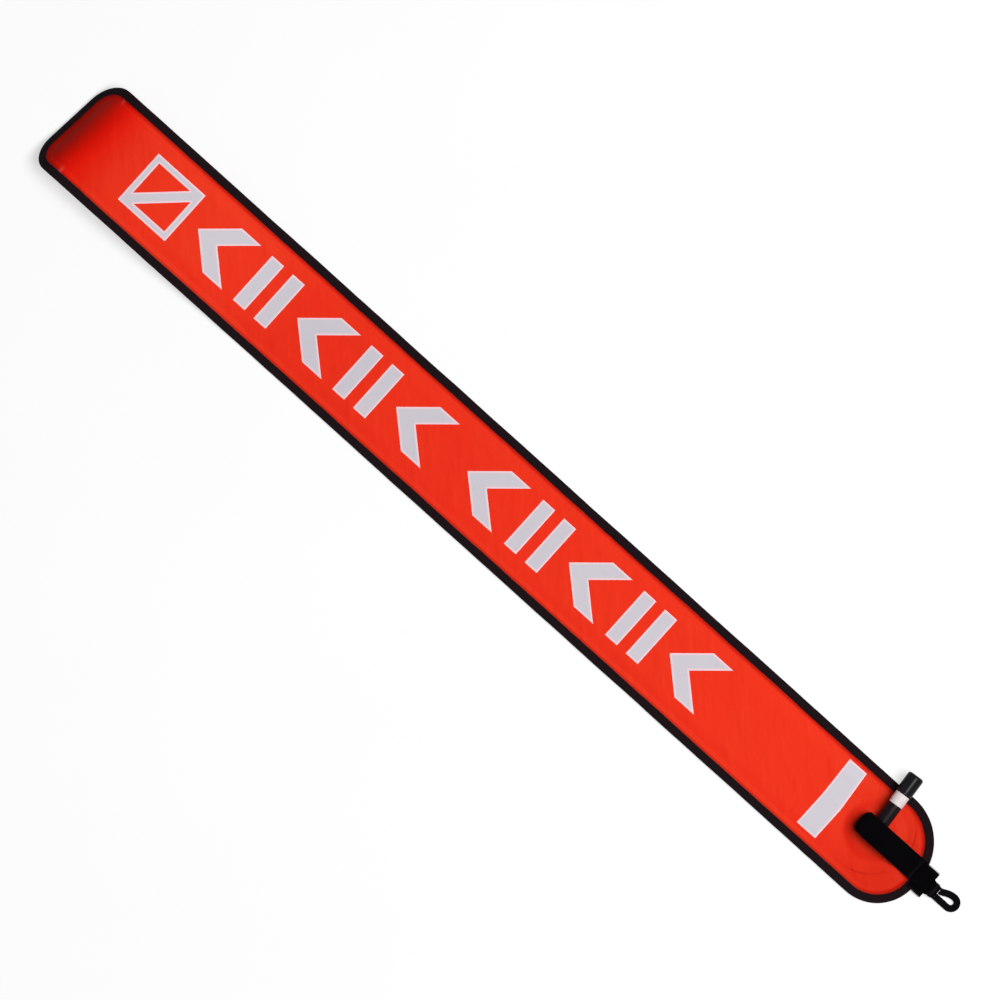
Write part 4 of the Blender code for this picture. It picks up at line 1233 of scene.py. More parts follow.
    def rows(self, inset: float, columns: int) -> list[list[Plan]]:
        """Rows of places across the bag, which turn to its top end's slant.

        Args:
            inset: Distance in from the cut edge.
            columns: How many steps each row has.

        Returns:
            The rows, from the bottom end up.
        """
        reach = self.width / 2 - inset
        low, high = self.bottom + inset, self.top - inset / math.cos(self.slant)
        corner = 24 * MM
        middle = round((high - corner - low - reach) / self.step)
        ys = [low + reach * (1 - math.cos(math.pi / 2 * i / 40)) for i in range(40)]
        ys += [low + reach + (high - corner - low - reach) * i / middle for i in range(middle)]
        ys += [high - corner * (1 - math.sin(math.pi / 2 * i / 14)) for i in range(15)]
        return [self.row(y, inset, columns) for y in ys]

    def row(self, y: float, inset: float, columns: int) -> list[Plan]:
        """One row of places across the bag.

        Args:
            y: Where it crosses the middle.
            inset: Distance in from the cut edge.
            columns: How many steps it has.

        Returns:
            The places, from left to right.
        """
        turn = self.slant * ease((y - 0.30) / 0.19)
        ends = []
        for side in (-1, 1):
            low, high = 0.0, self.width / 2 + 5 * MM
            for _ in range(22):
                reach = (low + high) / 2
                there = (side * reach * math.cos(turn), y - side * reach * math.sin(turn))
                low, high = (reach, high) if self.inset(*there) >= inset - 1e-7 else (low, reach)
            ends.append(side * low)
        spots = [ends[0] + (ends[1] - ends[0]) * i / columns for i in range(columns + 1)]
        return [(s * math.cos(turn), y - s * math.sin(turn)) for s in spots]


@dataclass
class Bag:
    """Both sheets of the bag, the tape round their edge with its stitches, and the film on the front."""

    shape: BagShape
    finishes: Finishes
    columns: int = 58
    rim_inset: float = 1.2 * MM
    seam_inset: float = 7.0 * MM
    stitch: float = 1.9 * MM
    tape_round: float = 1.1 * MM
    area_share: float = 0.965
    film_lift: float = 0.16 * MM
    film_thick: float = 0.12 * MM
    film_cell: float = 3 * MM
    # The inset band at each film's edge, which carries its painted highlight.
    film_rim: float = 2.3 * MM
    motif_size: float = 59 * MM
    motif_x: float = 1.5 * MM
    flag_centre: Plan = (0.5 * MM, 445.5 * MM)
    flag_size: Plan = (61 * MM, 63 * MM)
    motif_ys: tuple[float, ...] = (368, 301.5, 233.5, 167.5, 100.5, 4.5, -63.5, -132, -199.5, -267.5)
    bars: tuple[Plan, Plan] = ((6 * MM, 22 * MM), (-22 * MM, -6 * MM))

    def build(self) -> None:
        """Builds the bag: its two sheets, the tape, the seams and the films."""
        rear = self.sheet(Side.REAR)
        front = self.sheet(Side.FRONT)
        pieces = [self.binding(), self.seam(True), self.seam(False), *self.films()]

    def sheet(self, side: Side) -> bpy.types.Object:
        """One sheet, as a fine grid that follows the cut outline.

        Args:
            side: Which sheet.

        Returns:
            The sheet.
        """
        shape = self.shape
        plan = shape.rows(self.rim_inset, self.columns)
        points = [[shape.place(x, y, shape.face(x, y, side)) for x, y in row] for row in plan]
        edge = [[(shape.inset(*spot), math.dist(spot, shape.crease_centre)) for spot in row] for row in plan]
        mesh = grid_mesh(f"{side.value}_sheet", points, {"plan": plan, "edge": edge})
        with edited(mesh) as bm:
            if side is Side.FRONT:
                cut_round_hole(bm, shape.valve, shape.neck_hole, 4 * MM)
            bmesh.ops.remove_doubles(bm, verts=bm.verts, dist=0.00001)
        sheet = add_piece(mesh, self.finishes.fabric, replaces=[f"{side.value}_panel"])
        thicken(sheet, shape.fabric, -1.0 if side is Side.FRONT else 1.0)
        return sheet

    def binding(self) -> bpy.types.Object:
        """The tape folded round the edge of both sheets, with its slightly wavy inner edges.

        Returns:
            The tape.
        """
        shape = self.shape
        wide, thick, top, size = shape.tape_width, shape.tape, shape.tape_top, self.tape_round
        outer = [(wide, top - 0.25 * MM), (wide - 0.3 * MM, top)]
        outer += [(wide * (1 - k / 5) + size * k / 5, top) for k in range(1, 5)]
        outer += [(size - size * math.sin(a), top - size * (1 - math.cos(a))) for a in (0.0, 0.5, 1.0, 1.4)]
        lower = [(inset, top - z) for inset, z in reversed(outer)]
        inner = [(wide, thick), (1.9 * MM, thick), (thick, 1.5 * MM)]
        profile = outer + lower + inner + [(inset, top - z) for inset, z in reversed(inner)]
        across = [0.0]
        for (a, b), (c, d) in zip(profile, profile[1:] + profile[:1]):
            across.append(across[-1] + math.hypot(c - a, d - b))
        edge = shape.outline(0.0)
        marks = [0.0]
        for a, b in zip(edge, edge[1:] + edge[:1]):
            marks.append(marks[-1] + math.dist(a, b))
        loops = [shape.outline(inset) for inset, _ in profile]
        rows = []
        for i, (x, y) in enumerate(edge):
            wave = 0.45 * rough(x, y, 26.0, 7.7) + 0.22 * rough(x, y, 90.0, 1.2)
            out = 0.30 * rough(x, y, 19.0, 3.3) + 0.12 * rough(x, y, 75.0, 5.9)
            row = []
            for loop, (inset, z) in zip(loops, profile):
                share = inset / wide
                x2, y2 = loop[i]
                inward = Vector((x2, y2)) - Vector((x, y))
                inward = inward.normalized() if inward.length > 1e-7 else Vector((0, 0))
                push = (wave * share + out * (1 - share)) * MM
                ripple = 0.12 * MM * rough(x2, y2, 140.0, 9.1) if z in (0.0, top) else 0.0
                row.append(shape.place(x2 + inward.x * push, y2 + inward.y * push, z + ripple))
            rows.append(row)
        places = [[(u, v) for u in across] for v in marks]
        mesh = grid_mesh("binding_tape", rows, {"cloth": places}, loop_rows=True, loop_columns=True)
        return add_piece(mesh, self.finishes.tape, replaces=["edge_binding"])

    def seam(self, top: bool) -> bpy.types.Object:
        """A row of stitches through the tape.

        Args:
            top: Whether it is the upper face's row.

        Returns:
            The stitches.
        """
        shape = self.shape
        height = shape.tape_top + 0.05 * MM if top else -0.02 * MM
        middle = [Vector((*point, 0)) for point in shape.outline(self.seam_inset)]
        spots = resampled(middle + middle[:1], self.stitch)
        sign = 1 if top else -1
        lift = [sign * up * MM for up in (-0.08, 0.10, -0.08)]
        lines = []
        for a, b in zip(spots[::2], spots[1::2]):
            ends = [a.lerp(b, share) for share in (-0.12, 0.5, 1.12)]
            lines.append([shape.place(p.x, p.y, height + up) for p, up in zip(ends, lift)])
        mesh = tube_mesh("seam_front" if top else "seam_rear", lines, 0.24 * MM, sides=5)
        return add_piece(mesh, self.finishes.thread)

    def films(self) -> list[bpy.types.Object]:
        """The flag, the ten plain motifs and the blank name panel.

        Returns:
            The pieces of film.
        """
        pieces = [self.film("flag_film", self.flag_outlines())]
        for i, y in enumerate(self.motif_ys):
            motif = Motif.BARS if i % 5 in (1, 3) else Motif.CHEVRON
            pieces.append(self.film(f"{motif.value}_film_{i + 1}", self.motif_outlines(motif, y * MM)))
        panel = ((-39, -445.4), (-1, -445.6), (43.5, -442.9), (43.8, -465.3), (-1, -469.9), (-38.7, -469.8))
        pieces.append(self.film("name_panel", [[(x * MM, y * MM) for x, y in panel]]))
        return pieces

    def flag_outlines(self) -> list[list[Plan]]:
        """The square frame and its diagonal.

        Returns:
            Their outlines, which meet.
        """
        (cx, cy), (wide, tall) = self.flag_centre, self.flag_size
        w, h, rim, band = wide / 2, tall / 2, 6.9 * MM, 7.8 * MM
        iw, ih = w - rim, h - rim
        parts = [
            [(-w, h), (w, h), (iw, ih), (-iw + band, ih), (-iw, ih)],
            [(w, h), (w, -h), (iw, -ih), (iw, -ih + band), (iw, ih)],
            [(w, -h), (-w, -h), (-iw, -ih), (iw - band, -ih), (iw, -ih)],
            [(-w, -h), (-w, h), (-iw, ih), (-iw, ih - band), (-iw, -ih)],
            [(-iw, ih), (-iw + band, ih), (iw, -ih + band), (iw, -ih), (iw - band, -ih), (-iw, ih - band)],
        ]
        return [[(cx + x, cy + y) for x, y in part] for part in parts]

    def motif_outlines(self, motif: Motif, y: float) -> list[list[Plan]]:
        """One motif's outlines.

        Args:
            motif: Which one.
            y: Its centre along the bag.

        Returns:
            The outlines.
        """
        half, x = self.motif_size / 2, self.motif_x
        if motif is Motif.BARS:
            parts = [[(-half, low), (half, low), (half, high), (-half, high)] for low, high in self.bars]
        else:
            thick = 0.44 * self.motif_size
            parts = [
                [(0, half), (0, half - thick), (-half, -half), (-half, thick - half)],
                [(0, half), (half, thick - half), (half, -half), (0, half - thick)],
            ]
        return [[(x + a, y + b) for a, b in part] for part in parts]

    def film(self, name: str, outlines: Sequence[Sequence[Plan]]) -> bpy.types.Object:
        """A piece of film that follows the front sheet.

        Args:
            name: Its name.
            outlines: Its outlines on the flat bag.

        Returns:
            The film.
        """
        bm = bmesh.new()
        for outline in outlines:
            bm.faces.new([bm.verts.new((x, y, 0)) for x, y in outline])
        bmesh.ops.remove_doubles(bm, verts=bm.verts, dist=0.000005)
        bmesh.ops.recalc_face_normals(bm, faces=bm.faces)
        if sum(face.normal.z for face in bm.faces) < 0:
            bmesh.ops.reverse_faces(bm, faces=bm.faces)
        border = [tuple(v.co.copy() for v in edge.verts) for edge in bm.edges if edge.is_boundary]
        bmesh.ops.inset_region(
            bm, faces=bm.faces, thickness=self.film_rim, use_even_offset=True, use_boundary=True
        )
        for axis in range(2):
            low = min(v.co[axis] for v in bm.verts)
            high = max(v.co[axis] for v in bm.verts)
            count = math.ceil((high - low) / self.film_cell)
            normal = Vector((1 - axis, axis, 0))
            for i in range(1, count):
                everything = bm.verts[:] + bm.edges[:] + bm.faces[:]
                spot = normal * (low + (high - low) * i / count)
                bmesh.ops.bisect_plane(bm, geom=everything, dist=0.000001, plane_co=spot, plane_no=normal)
        edge = bm.loops.layers.uv.new("edge")
        for v in bm.verts:
            inward = min((v.co - nearest_on(v.co, *ends)).length for ends in border)
            for loop in v.link_loops:
                loop[edge].uv = (inward, 0)
            v.co = self.shape.place(v.co.x, v.co.y, self.shape.face(v.co.x, v.co.y) + self.film_lift)
        film = add_piece(finished_mesh(bm, name, closed=False), self.finishes.film)
        thicken(film, self.film_thick)
        shade_by_area(film)
        return film


# The inflator

@dataclass
class Inflator:
    """The oral inflator: union nut, swivel elbow, barrel with a white sleeve, and push-in mouthpiece."""

    shape: BagShape
    finishes: Finishes
    heading: float = math.radians(5.5)
    axis_z: float = 17.9 * MM
    barrel_radius: float = 7.5 * MM
    barrel_bore: float = 6.1 * MM
    nut_low: float = 5.2 * MM
    nut_high: float = 10.1 * MM
    nut_radius: float = 12 * MM
    nut_lip: float = 0.9 * MM
    nut_chamfer: float = 0.7 * MM
    neck_radius: float = 9 * MM
    leg_radius: float = 7 * MM
    flutes: int = 18
    flute_depth: float = 0.62 * MM
    collar: Plan = (7.9 * MM, 8.9 * MM)
    spigot_tip: float = 20 * MM
    shoulder: float = 9.5 * MM
    barrel_span: Plan = (9.8 * MM, 61.3 * MM)
    seat: Plan = (34 * MM, 38 * MM)
    seat_hole: float = 3.9 * MM
    seal_groove: Plan = (58.5 * MM, 59.9 * MM)
    seal_depth: float = 0.84 * MM
    sleeve_span: Plan = (33.6 * MM, 46.3 * MM)
    sleeve_radii: Plan = (7.32 * MM, 7.9 * MM)
    mouth_span: Plan = (46.9 * MM, 69.5 * MM)
    mouth_radius: float = 9 * MM
    skirt_bore: float = 8.2 * MM
    mouth_tube: Plan = (4.8 * MM, 5.8 * MM)
    hub: Plan = (57.0 * MM, 59.2 * MM)
    hub_radii: Plan = (1.8 * MM, 3.0 * MM)
    spokes: int = 3
    spoke: tuple[float, float, float] = (2.4 * MM, 1.4 * MM, 1.6 * MM)
    spoke_reach: float = 3.9 * MM
    coil: Plan = (38.7 * MM, 56.3 * MM)
    coil_radius: float = 5.2 * MM
    coil_closed: float = 0.92 * MM
    coil_turns: int = 7
    coil_steps: int = 24
    wire: float = 0.4 * MM

    @property
    def upright(self) -> Matrix:
        """Where the valve's upright axis stands."""
        return Matrix.Translation((*self.shape.valve, 0))

    @property
    def along(self) -> Matrix:
        """The barrel's own place, with its Z along the barrel."""
        lift, turn = Matrix.Translation((0, 0, self.axis_z)), Matrix.Rotation(self.heading, 4, "Z")
        return self.upright @ lift @ turn @ Matrix.Rotation(math.pi / 2, 4, "Y")

    def build(self) -> None:
        """Builds the visible pieces and dresses the hidden ones."""
        self.nut()
        self.elbow()
        self.barrel()
        self.sleeve()
        self.mouthpiece()
        self.spring()
        self.dress()

    def fitted(
        self, bm: bmesh.types.BMesh, name: str, finish: bpy.types.Material, body: Body,
    ) -> bpy.types.Object:
        """Adds a piece that stands for the CAD node it is named after, with one word more."""
        return add_piece(finished_mesh(bm, name), finish, body, [name.rsplit("_", 1)[0]])

    def nut(self) -> None:
        """The fluted union nut with its chamfers."""
        low, high, wide = self.nut_low, self.nut_high, self.nut_radius
        lip, chamfer, gap = self.nut_lip, self.nut_chamfer, self.shape.gap
        bore, mouth = self.neck_radius + gap, self.leg_radius + gap
        profile = (
            (wide - lip, high), (wide, high - lip), (wide, low + chamfer), (wide - chamfer, low),
            (bore, low), (bore, high - lip), (mouth, high - lip), (mouth, high),
        )

        def fluted(radius: float, angle: float) -> float:
            """The nut's radius, drawn in at each flute."""
            depth = self.flute_depth * ease((radius - wide + 1.6 * MM) / (1.2 * MM))
            return radius - depth * max(0.0, math.cos(self.flutes * angle)) ** 1.5

        bm = bmesh.new()
        turn_round(bm, rounded(profile, 0.3 * MM), self.upright, 14 * self.flutes, fluted)
        self.fitted(bm, "union_nut_body", self.finishes.fitting, Body.BAG)

    def elbow(self) -> None:
        """The swivel elbow: a collar and leg that stand up, and a ball-ended arm with the barrel's spigot."""
        leg, neck, bore = self.leg_radius, self.neck_radius, self.leg_radius - 3 * MM
        low, high = self.collar
        standing = (
            (leg, self.axis_z), (leg, high + 0.5 * MM), (leg + 0.3 * MM, high), (neck, high),
            (neck, low), (bore, low), (bore, self.axis_z),
        )
        bm = bmesh.new()
        turn_round(bm, standing, self.upright)
        wide, spigot, air = self.barrel_radius, self.barrel_bore - 0.3 * MM, 4.2 * MM
        tip, shoulder = self.spigot_tip, self.shoulder
        ball = [(x, z) for z, x in arc((0, 0), wide, 90, 178, 14)][1:]
        arm = [
            (air, tip), (spigot - 0.8 * MM, tip), (spigot, tip - 1.2 * MM), (spigot, shoulder),
            (wide - 0.4 * MM, shoulder), (wide, shoulder - 0.4 * MM),
            *groove(wide, 4.9 * MM, 6.3 * MM, 0.35 * MM), (wide, 0),
        ]
        inside = [(x, z) for z, x in arc((0, 0), air, 178, 90, 10)]
        turn_round(bm, arm + ball + inside, self.along)
        self.fitted(bm, "swivel_elbow_body", self.finishes.fitting, Body.INFLATOR)

    def barrel(self) -> None:
        """The barrel tube with its valve seat, its seal groove and the groove for the white sleeve."""
        wide, bore, hole = self.barrel_radius, self.barrel_bore, self.seat_hole
        (near, far), (low, high) = self.barrel_span, self.sleeve_span
        (seat, back), (seal, seal_end) = self.seat, self.seal_groove
        edge = seat + 0.4 * MM
        profile = [
            (wide - 0.1 * MM, far), (wide, far - 0.2 * MM),
            *groove(wide, low - 0.3 * MM, high + 0.3 * MM, 0.3 * MM, 0.1 * MM),
            *groove(wide, 11.8 * MM, 12.9 * MM, 0.25 * MM), (wide, near + 0.1 * MM), (wide - 0.1 * MM, near),
            (bore + 0.4 * MM, near), (bore, near + 0.8 * MM), (bore, edge), (hole + 1.3 * MM, edge),
            (hole + 0.65 * MM, seat), (hole, seat), (hole, back), (bore, back), (bore, seal),
            (bore + self.seal_depth, seal), (bore + self.seal_depth, seal_end), (bore, seal_end), (bore, far),
        ]
        bm = bmesh.new()
        turn_round(bm, rounded(profile, 0.12 * MM), self.along)
        self.fitted(bm, "barrel_tube", self.finishes.barrel, Body.INFLATOR)

    def sleeve(self) -> None:
        """The plain white sleeve let into the barrel."""
        (low, high), (inner, wide) = self.sleeve_span, self.sleeve_radii
        profile = ((wide, high), (wide, low), (inner, low), (inner, high))
        bm = bmesh.new()
        turn_round(bm, rounded(profile, 0.18 * MM), self.along)
        self.fitted(bm, "band_sleeve_ring", self.finishes.sleeve, Body.INFLATOR)

    def mouthpiece(self) -> None:
        """The mouthpiece: skirt, rounded end, lip, inner tube and the spoked hub that holds the stem."""
        (low, high), (bore, tube) = self.mouth_span, self.mouth_tube
        wide, skirt, wall = self.mouth_radius, self.skirt_bore, high - 3.5 * MM
        (near, far), (hollow, rim) = self.hub, self.hub_radii
        crown_round, lip_round = 2.8 * MM, 0.7 * MM
        crown = arc((wide - crown_round, high - crown_round), crown_round, 90, 0, 12)
        lip = arc((bore + lip_round, high - lip_round), lip_round, 180, 90, 6)
        edge = [
            *groove(wide, low + 1.6 * MM, low + 2.6 * MM, 0.28 * MM),
            (wide, low + 0.35 * MM), (wide - 0.35 * MM, low), (skirt + 0.1 * MM, low),
        ]
        inside = [(skirt, low + 0.3 * MM), (skirt, wall), (tube, wall), (tube, near), (bore, near)]
        bm = bmesh.new()
        turn_round(bm, crown + edge + inside + lip, self.along)
        ring = ((rim, far), (rim, near), (hollow, near), (hollow, far))
        turn_round(bm, rounded(ring, 0.2 * MM), self.along, 48)
        for i in range(self.spokes):
            turn = Matrix.Rotation(math.tau * (i + 0.25) / self.spokes, 4, "Z")
            place = turn @ Matrix.Translation((self.spoke_reach, 0, (near + far) / 2))
            size = Matrix.Diagonal((*self.spoke, 1))
            bmesh.ops.create_cube(bm, size=1, matrix=self.along @ place @ size)
        piece = self.fitted(bm, "mouthpiece_shell", self.finishes.mouthpiece, Body.MOUTHPIECE)
        round_edges(piece, 0.12 * MM)

    def spring(self) -> None:
        """The return spring, a wire coil with closed turns at both ends."""
        low, high = self.coil
        middle = high - low - 2 * self.coil_closed
        line = []
        for i in range(self.coil_turns * self.coil_steps + 1):
            turn = i / self.coil_steps
            closed = min(turn, 1.0) + max(0.0, turn - self.coil_turns + 1)
            opened = min(1.0, max(0.0, (turn - 1) / (self.coil_turns - 2)))
            x, y = (self.coil_radius * part(math.tau * turn) for part in (math.cos, math.sin))
            line.append(self.along @ Vector((x, y, low + self.coil_closed * closed + middle * opened)))
        mesh = tube_mesh("spring_coil", [line], self.wire, 12)
        piece = add_piece(mesh, self.finishes.steel, None, ["return_spring"])
        ends = (self.along @ Vector((0, 0, z)) for z in (low - self.wire, high + self.wire))
        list(ends)
        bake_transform(piece)

    def dress(self) -> None:
        """Gives the CAD nodes that stay their finishes."""
        looks = (
            (self.finishes.fitting, ("valve_flange", "poppet_plate")),
            (self.finishes.rubber, ("neck_gasket", "spigot_seal", "mouthpiece_seal", "poppet_washer")),
            (self.finishes.steel, ("valve_stem", "stem_nut")),
        )
        for finish, names in looks:
            for name in names:
                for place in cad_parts[name].material_slots:
                    place.material = finish
                log.info("%s: carried over, %s", name, finish.name)


# The strap and the cord

@dataclass
class StrapAndCord:
    """The webbing loop round the elbow, the tab and gathered end under it, and the cord's double loop."""

    shape: BagShape
    finishes: Finishes
    width: float = 25 * MM
    thick: float = 1.2 * MM
    columns: int = 26
    x: float = 6 * MM
    over_z: float = 25.7 * MM
    turn: float = 6.5 * MM
    lower_turn: float = 2.2 * MM
    flat_half: float = 4.5 * MM
    left_half: Plan = (8.5 * MM, 1.3 * MM)
    right_half: Plan = (9.2 * MM, 0.25 * MM)
    pinch: float = 0.06
    wander: float = 0.25 * MM
    tab_x: float = 2.4 * MM
    tab_width: float = 31 * MM
    tab_length: float = 17.4 * MM
    tab_rib: float = 1.35 * MM
    rib_depth: float = 0.28 * MM
    tab_steps: tuple[int, int] = (60, 32)
    cord: float = 3.2 * MM
    cord_space: float = 0.3 * MM
    strands: int = 8
    strand_lay: float = 3.75 * MM
    braid_size: Plan = (1.115, 0.05)
    loop_width: float = 19 * MM
    loop_length: float = 26.5 * MM
    end_x: float = 1.8 * MM
    end_width: float = 14.0 * MM
    end_z: tuple[float, float] = (1.2 * MM, 5.8 * MM)
    end_steps: int = 88
    whip_turns: int = 4
    whip_pitch: float = 0.85 * MM
    tack_count: int = 22
    tack_pitch: float = 1.02 * MM
    edge_thread: float = 0.34 * MM
    whip_thread: float = 0.42 * MM
    tack_thread: float = 0.26 * MM

    @property
    def top_y(self) -> float:
        """Y of the strap's outer face behind the elbow."""
        return self.shape.valve[1] + 20.2 * MM

    @property
    def end_y(self) -> float:
        """Y at which the strap goes into the gathered end."""
        return self.shape.bottom + 9 * MM

    @property
    def tab_top(self) -> float:
        """Y of the tab's upper edge."""
        return self.shape.bottom + 6 * MM

    @property
    def tab_low(self) -> float:
        """Y of the tab's lower edge."""
        return self.tab_top - self.tab_length

    @property
    def tail_y(self) -> float:
        """Y of the gathered end's tip."""
        return self.tab_low - 10 * MM

    def build(self) -> None:
        """Builds the strap, the tab and the gathered end."""
        self.strap()
        self.tab()
        self.anchor()
        self.tacks()

    def build_cords(self) -> None:
        for name, inset in (("outer", self.cord / 2), ("inner", 1.5 * self.cord + self.cord_space)):
            line = self.loop_line(inset)
            fine = resampled(line, 0.3 * MM)
            mesh = tube_mesh(f"cord_{name}", [fine], self.cord / 2, 40, self.braid)
            piece = add_piece(mesh, self.finishes.cord, Body.BAG, [f"cord_loop_{name}"])

    def braid(self, angle: float, along: float) -> float:
        """The braid's crossing strands.

        Args:
            angle: The angle round the cord.
            along: The distance along it.

        Returns:
            The share of the radius.
        """
        lay = math.tau * along / self.strand_lay
        crossing = max(math.cos(self.strands * angle + lay), math.cos(self.strands * angle - lay))
        return self.braid_size[0] + self.braid_size[1] * crossing

    def loop_line(self, inset: float) -> list[Vector]:
        """One turn of the cord's loop.

        Args:
            inset: Its distance in from the loop's outer edge.

        Returns:
            Its points, from the gathered end round and back.
        """
        start_y = self.tail_y - 0.6 * MM
        left, right = self.end_x - self.end_width / 2, self.end_x + self.end_width / 2
        radius = self.loop_width / 2
        centre = (left + radius, self.tail_y - self.loop_length + radius)
        plan = self.side_run(left, start_y, left, centre[1])
        plan += [Vector((x, y, 0)) for x, y in arc(centre, radius, 180, 360, 20)[1:-1]]
        plan += self.side_run(right, start_y, left + 2 * radius, centre[1])[::-1]
        start_z, rest_z = sum(self.end_z) / 2, self.cord / 2 + self.cord_space
        points = []
        for before, here, after in zip(plan[:1] + plan, plan, plan[1:] + plan[-1:]):
            ahead = (after - before).normalized()
            place = here + inset * Vector((-ahead.y, ahead.x, 0))
            place.z = start_z + (rest_z - start_z) * ease((start_y - place.y) / (14 * MM))
            points.append(place)
        return softened(resampled(points, 0.9 * MM), 3)

    def side_run(self, from_x: float, from_y: float, to_x: float, to_y: float) -> list[Vector]:
        """An S-shaped run that starts and ends straight along Y.

        Args:
            from_x: Its first X.
            from_y: Its first Y.
            to_x: Its last X.
            to_y: Its last Y.

        Returns:
            Its points.
        """
        length = to_y - from_y
        ends = ((from_x, from_y), (from_x, from_y + 0.16 * length), (to_x, to_y - 0.6 * length), (to_x, to_y))
        return list(interpolate_bezier(*(Vector((x, y, 0)) for x, y in ends), 16))

    def path(self) -> list[Vector]:
        """Middle line of the strap, from the gathered end up, round the elbow and back over it.

        Returns:
            Its points.
        """
        shape, half, gap = self.shape, self.thick / 2, self.shape.gap
        valve_y = shape.valve[1]
        side, bend = abs(self.x) + self.width / 2, shape.width / 2
        climbed = shape.bottom + bend - math.sqrt((bend - shape.tape_width) ** 2 - side**2) + 3 * gap
        flat = climbed + 8 * MM
        lower = [
            (self.end_y, shape.tape_top),
            (climbed, shape.tape_top),
            (flat, shape.flat_top),
            (valve_y - shape.bump_radius - shape.bump_slope, shape.flat_top),
            (valve_y - shape.bump_radius, shape.bump_top),
        ]
        points = [(y, z + gap + half) for y, z in lower]
        turn_y = self.top_y - half - self.lower_turn
        points += arc((turn_y, shape.bump_top + gap + half + self.lower_turn), self.lower_turn, -90, 0, 6)
        top = self.over_z + half
        points += arc((self.top_y - half - self.turn, top - self.turn), self.turn, 0, 90, 12)
        second = gap + half + self.thick + 2 * gap
        crest = valve_y - 9.5 * MM
        fall = shape.flat_top + second - top
        points += [(crest + (flat - crest) * i / 30, top + fall * ease(i / 30)) for i in range(31)]
        points += [(y, z + second) for y, z in lower[1::-1]]
        return softened(resampled([Vector((0, y, z)) for y, z in points], 0.8 * MM), 4)

    def strap(self) -> None:
        """The strap as a band with a cupped turn behind the elbow and a round hole for the neck.

        Each half has its own cup radius and droop.
        """
        line = self.path()
        half = self.width / 2
        across = [half * (2 * j / self.columns - 1) for j in range(self.columns + 1)]
        rows, marks = [], []
        walked = 0.0
        for before, here in zip(line[:1] + line, line):
            walked += (here - before).length
            near = ease((here.y - self.top_y + 15 * MM) / (9 * MM))
            high = ease((here.z - 14 * MM) / (8 * MM))
            row = []
            for s in across:
                over = max(0.0, abs(s) - self.flat_half)
                cup, most = self.right_half if s > 0 else self.left_half
                back = near * (cup - math.sqrt(cup**2 - over**2))
                droop = high * most * ease(over / (8 * MM))
                wander = self.wander * rough(0.0, here.y, 45.0, 6.0 + math.copysign(1, s)) * abs(s) / half
                x = self.x + s * (1 - self.pinch * near) + wander
                row.append(Vector((x, here.y - back, here.z - droop)))
            rows.append(row)
            marks.append([(s, walked) for s in across])
        mesh = grid_mesh("strap_band", rows, {"cloth": marks})
        with edited(mesh) as bm:
            cut_round_hole(bm, self.shape.valve, self.shape.neck_hole, 2.1 * MM, 8 * MM)
        strap = add_piece(mesh, self.finishes.webbing, replaces=["strap_loop"])
        thicken(strap, self.thick, 0.0)
        round_edges(strap, 0.38 * MM)
        log.info("strap: %.0f mm long", length_of(line) / MM)

    def tab(self) -> None:
        """The wide tab on the tape, with ribbed side edges bound in thread."""
        half, z = self.tab_width / 2, self.shape.tape_top + self.shape.gap + self.thick
        length_steps, width_steps = self.tab_steps
        across = [2 * j / width_steps - 1 for j in range(width_steps + 1)]
        rows, marks = [], []
        for i in range(length_steps + 1):
            y = self.tab_low + self.tab_length * i / length_steps
            rib = self.rib_depth * math.sin(math.tau * y / self.tab_rib)
            row = []
            for s in across:
                bow = 0.25 * MM * rough(s * 0.03, y, 60.0, 2.2)
                row.append(Vector((self.tab_x + s * (half - 0.3 * MM + rib * abs(s) ** 6), y, z + bow)))
            rows.append(row)
            marks.append([(half * s * 0.75, y) for s in across])
        mesh = grid_mesh("tab_band", rows, {"cloth": marks})
        tab = add_piece(mesh, self.finishes.webbing, replaces=["bottom_tab"])
        thicken(tab, self.thick)
        round_edges(tab, 0.3 * MM)
        lines = []
        turns = round(self.tab_length / self.tab_rib) - 1
        ups, inwards = (0.12, 0.2, -0.1, -0.6, -1.1, -1.4, -1.3), (2.6, 0.9, -0.12, -0.3, -0.12, 0.9, 2.6)
        for side in (-1, 1):
            for i in range(turns):
                y = self.tab_low + (i + 1) * self.tab_length / (turns + 1)
                wrap = []
                for inward, up in zip(inwards, ups):
                    x = self.tab_x + side * (half - inward * MM)
                    wrap.append(Vector((x, y + 0.12 * inward * MM, z + up * MM)))
                lines.append(wrap)
        threads = tube_mesh("tab_edge_threads", lines, self.edge_thread)
        add_piece(threads, self.finishes.thread)

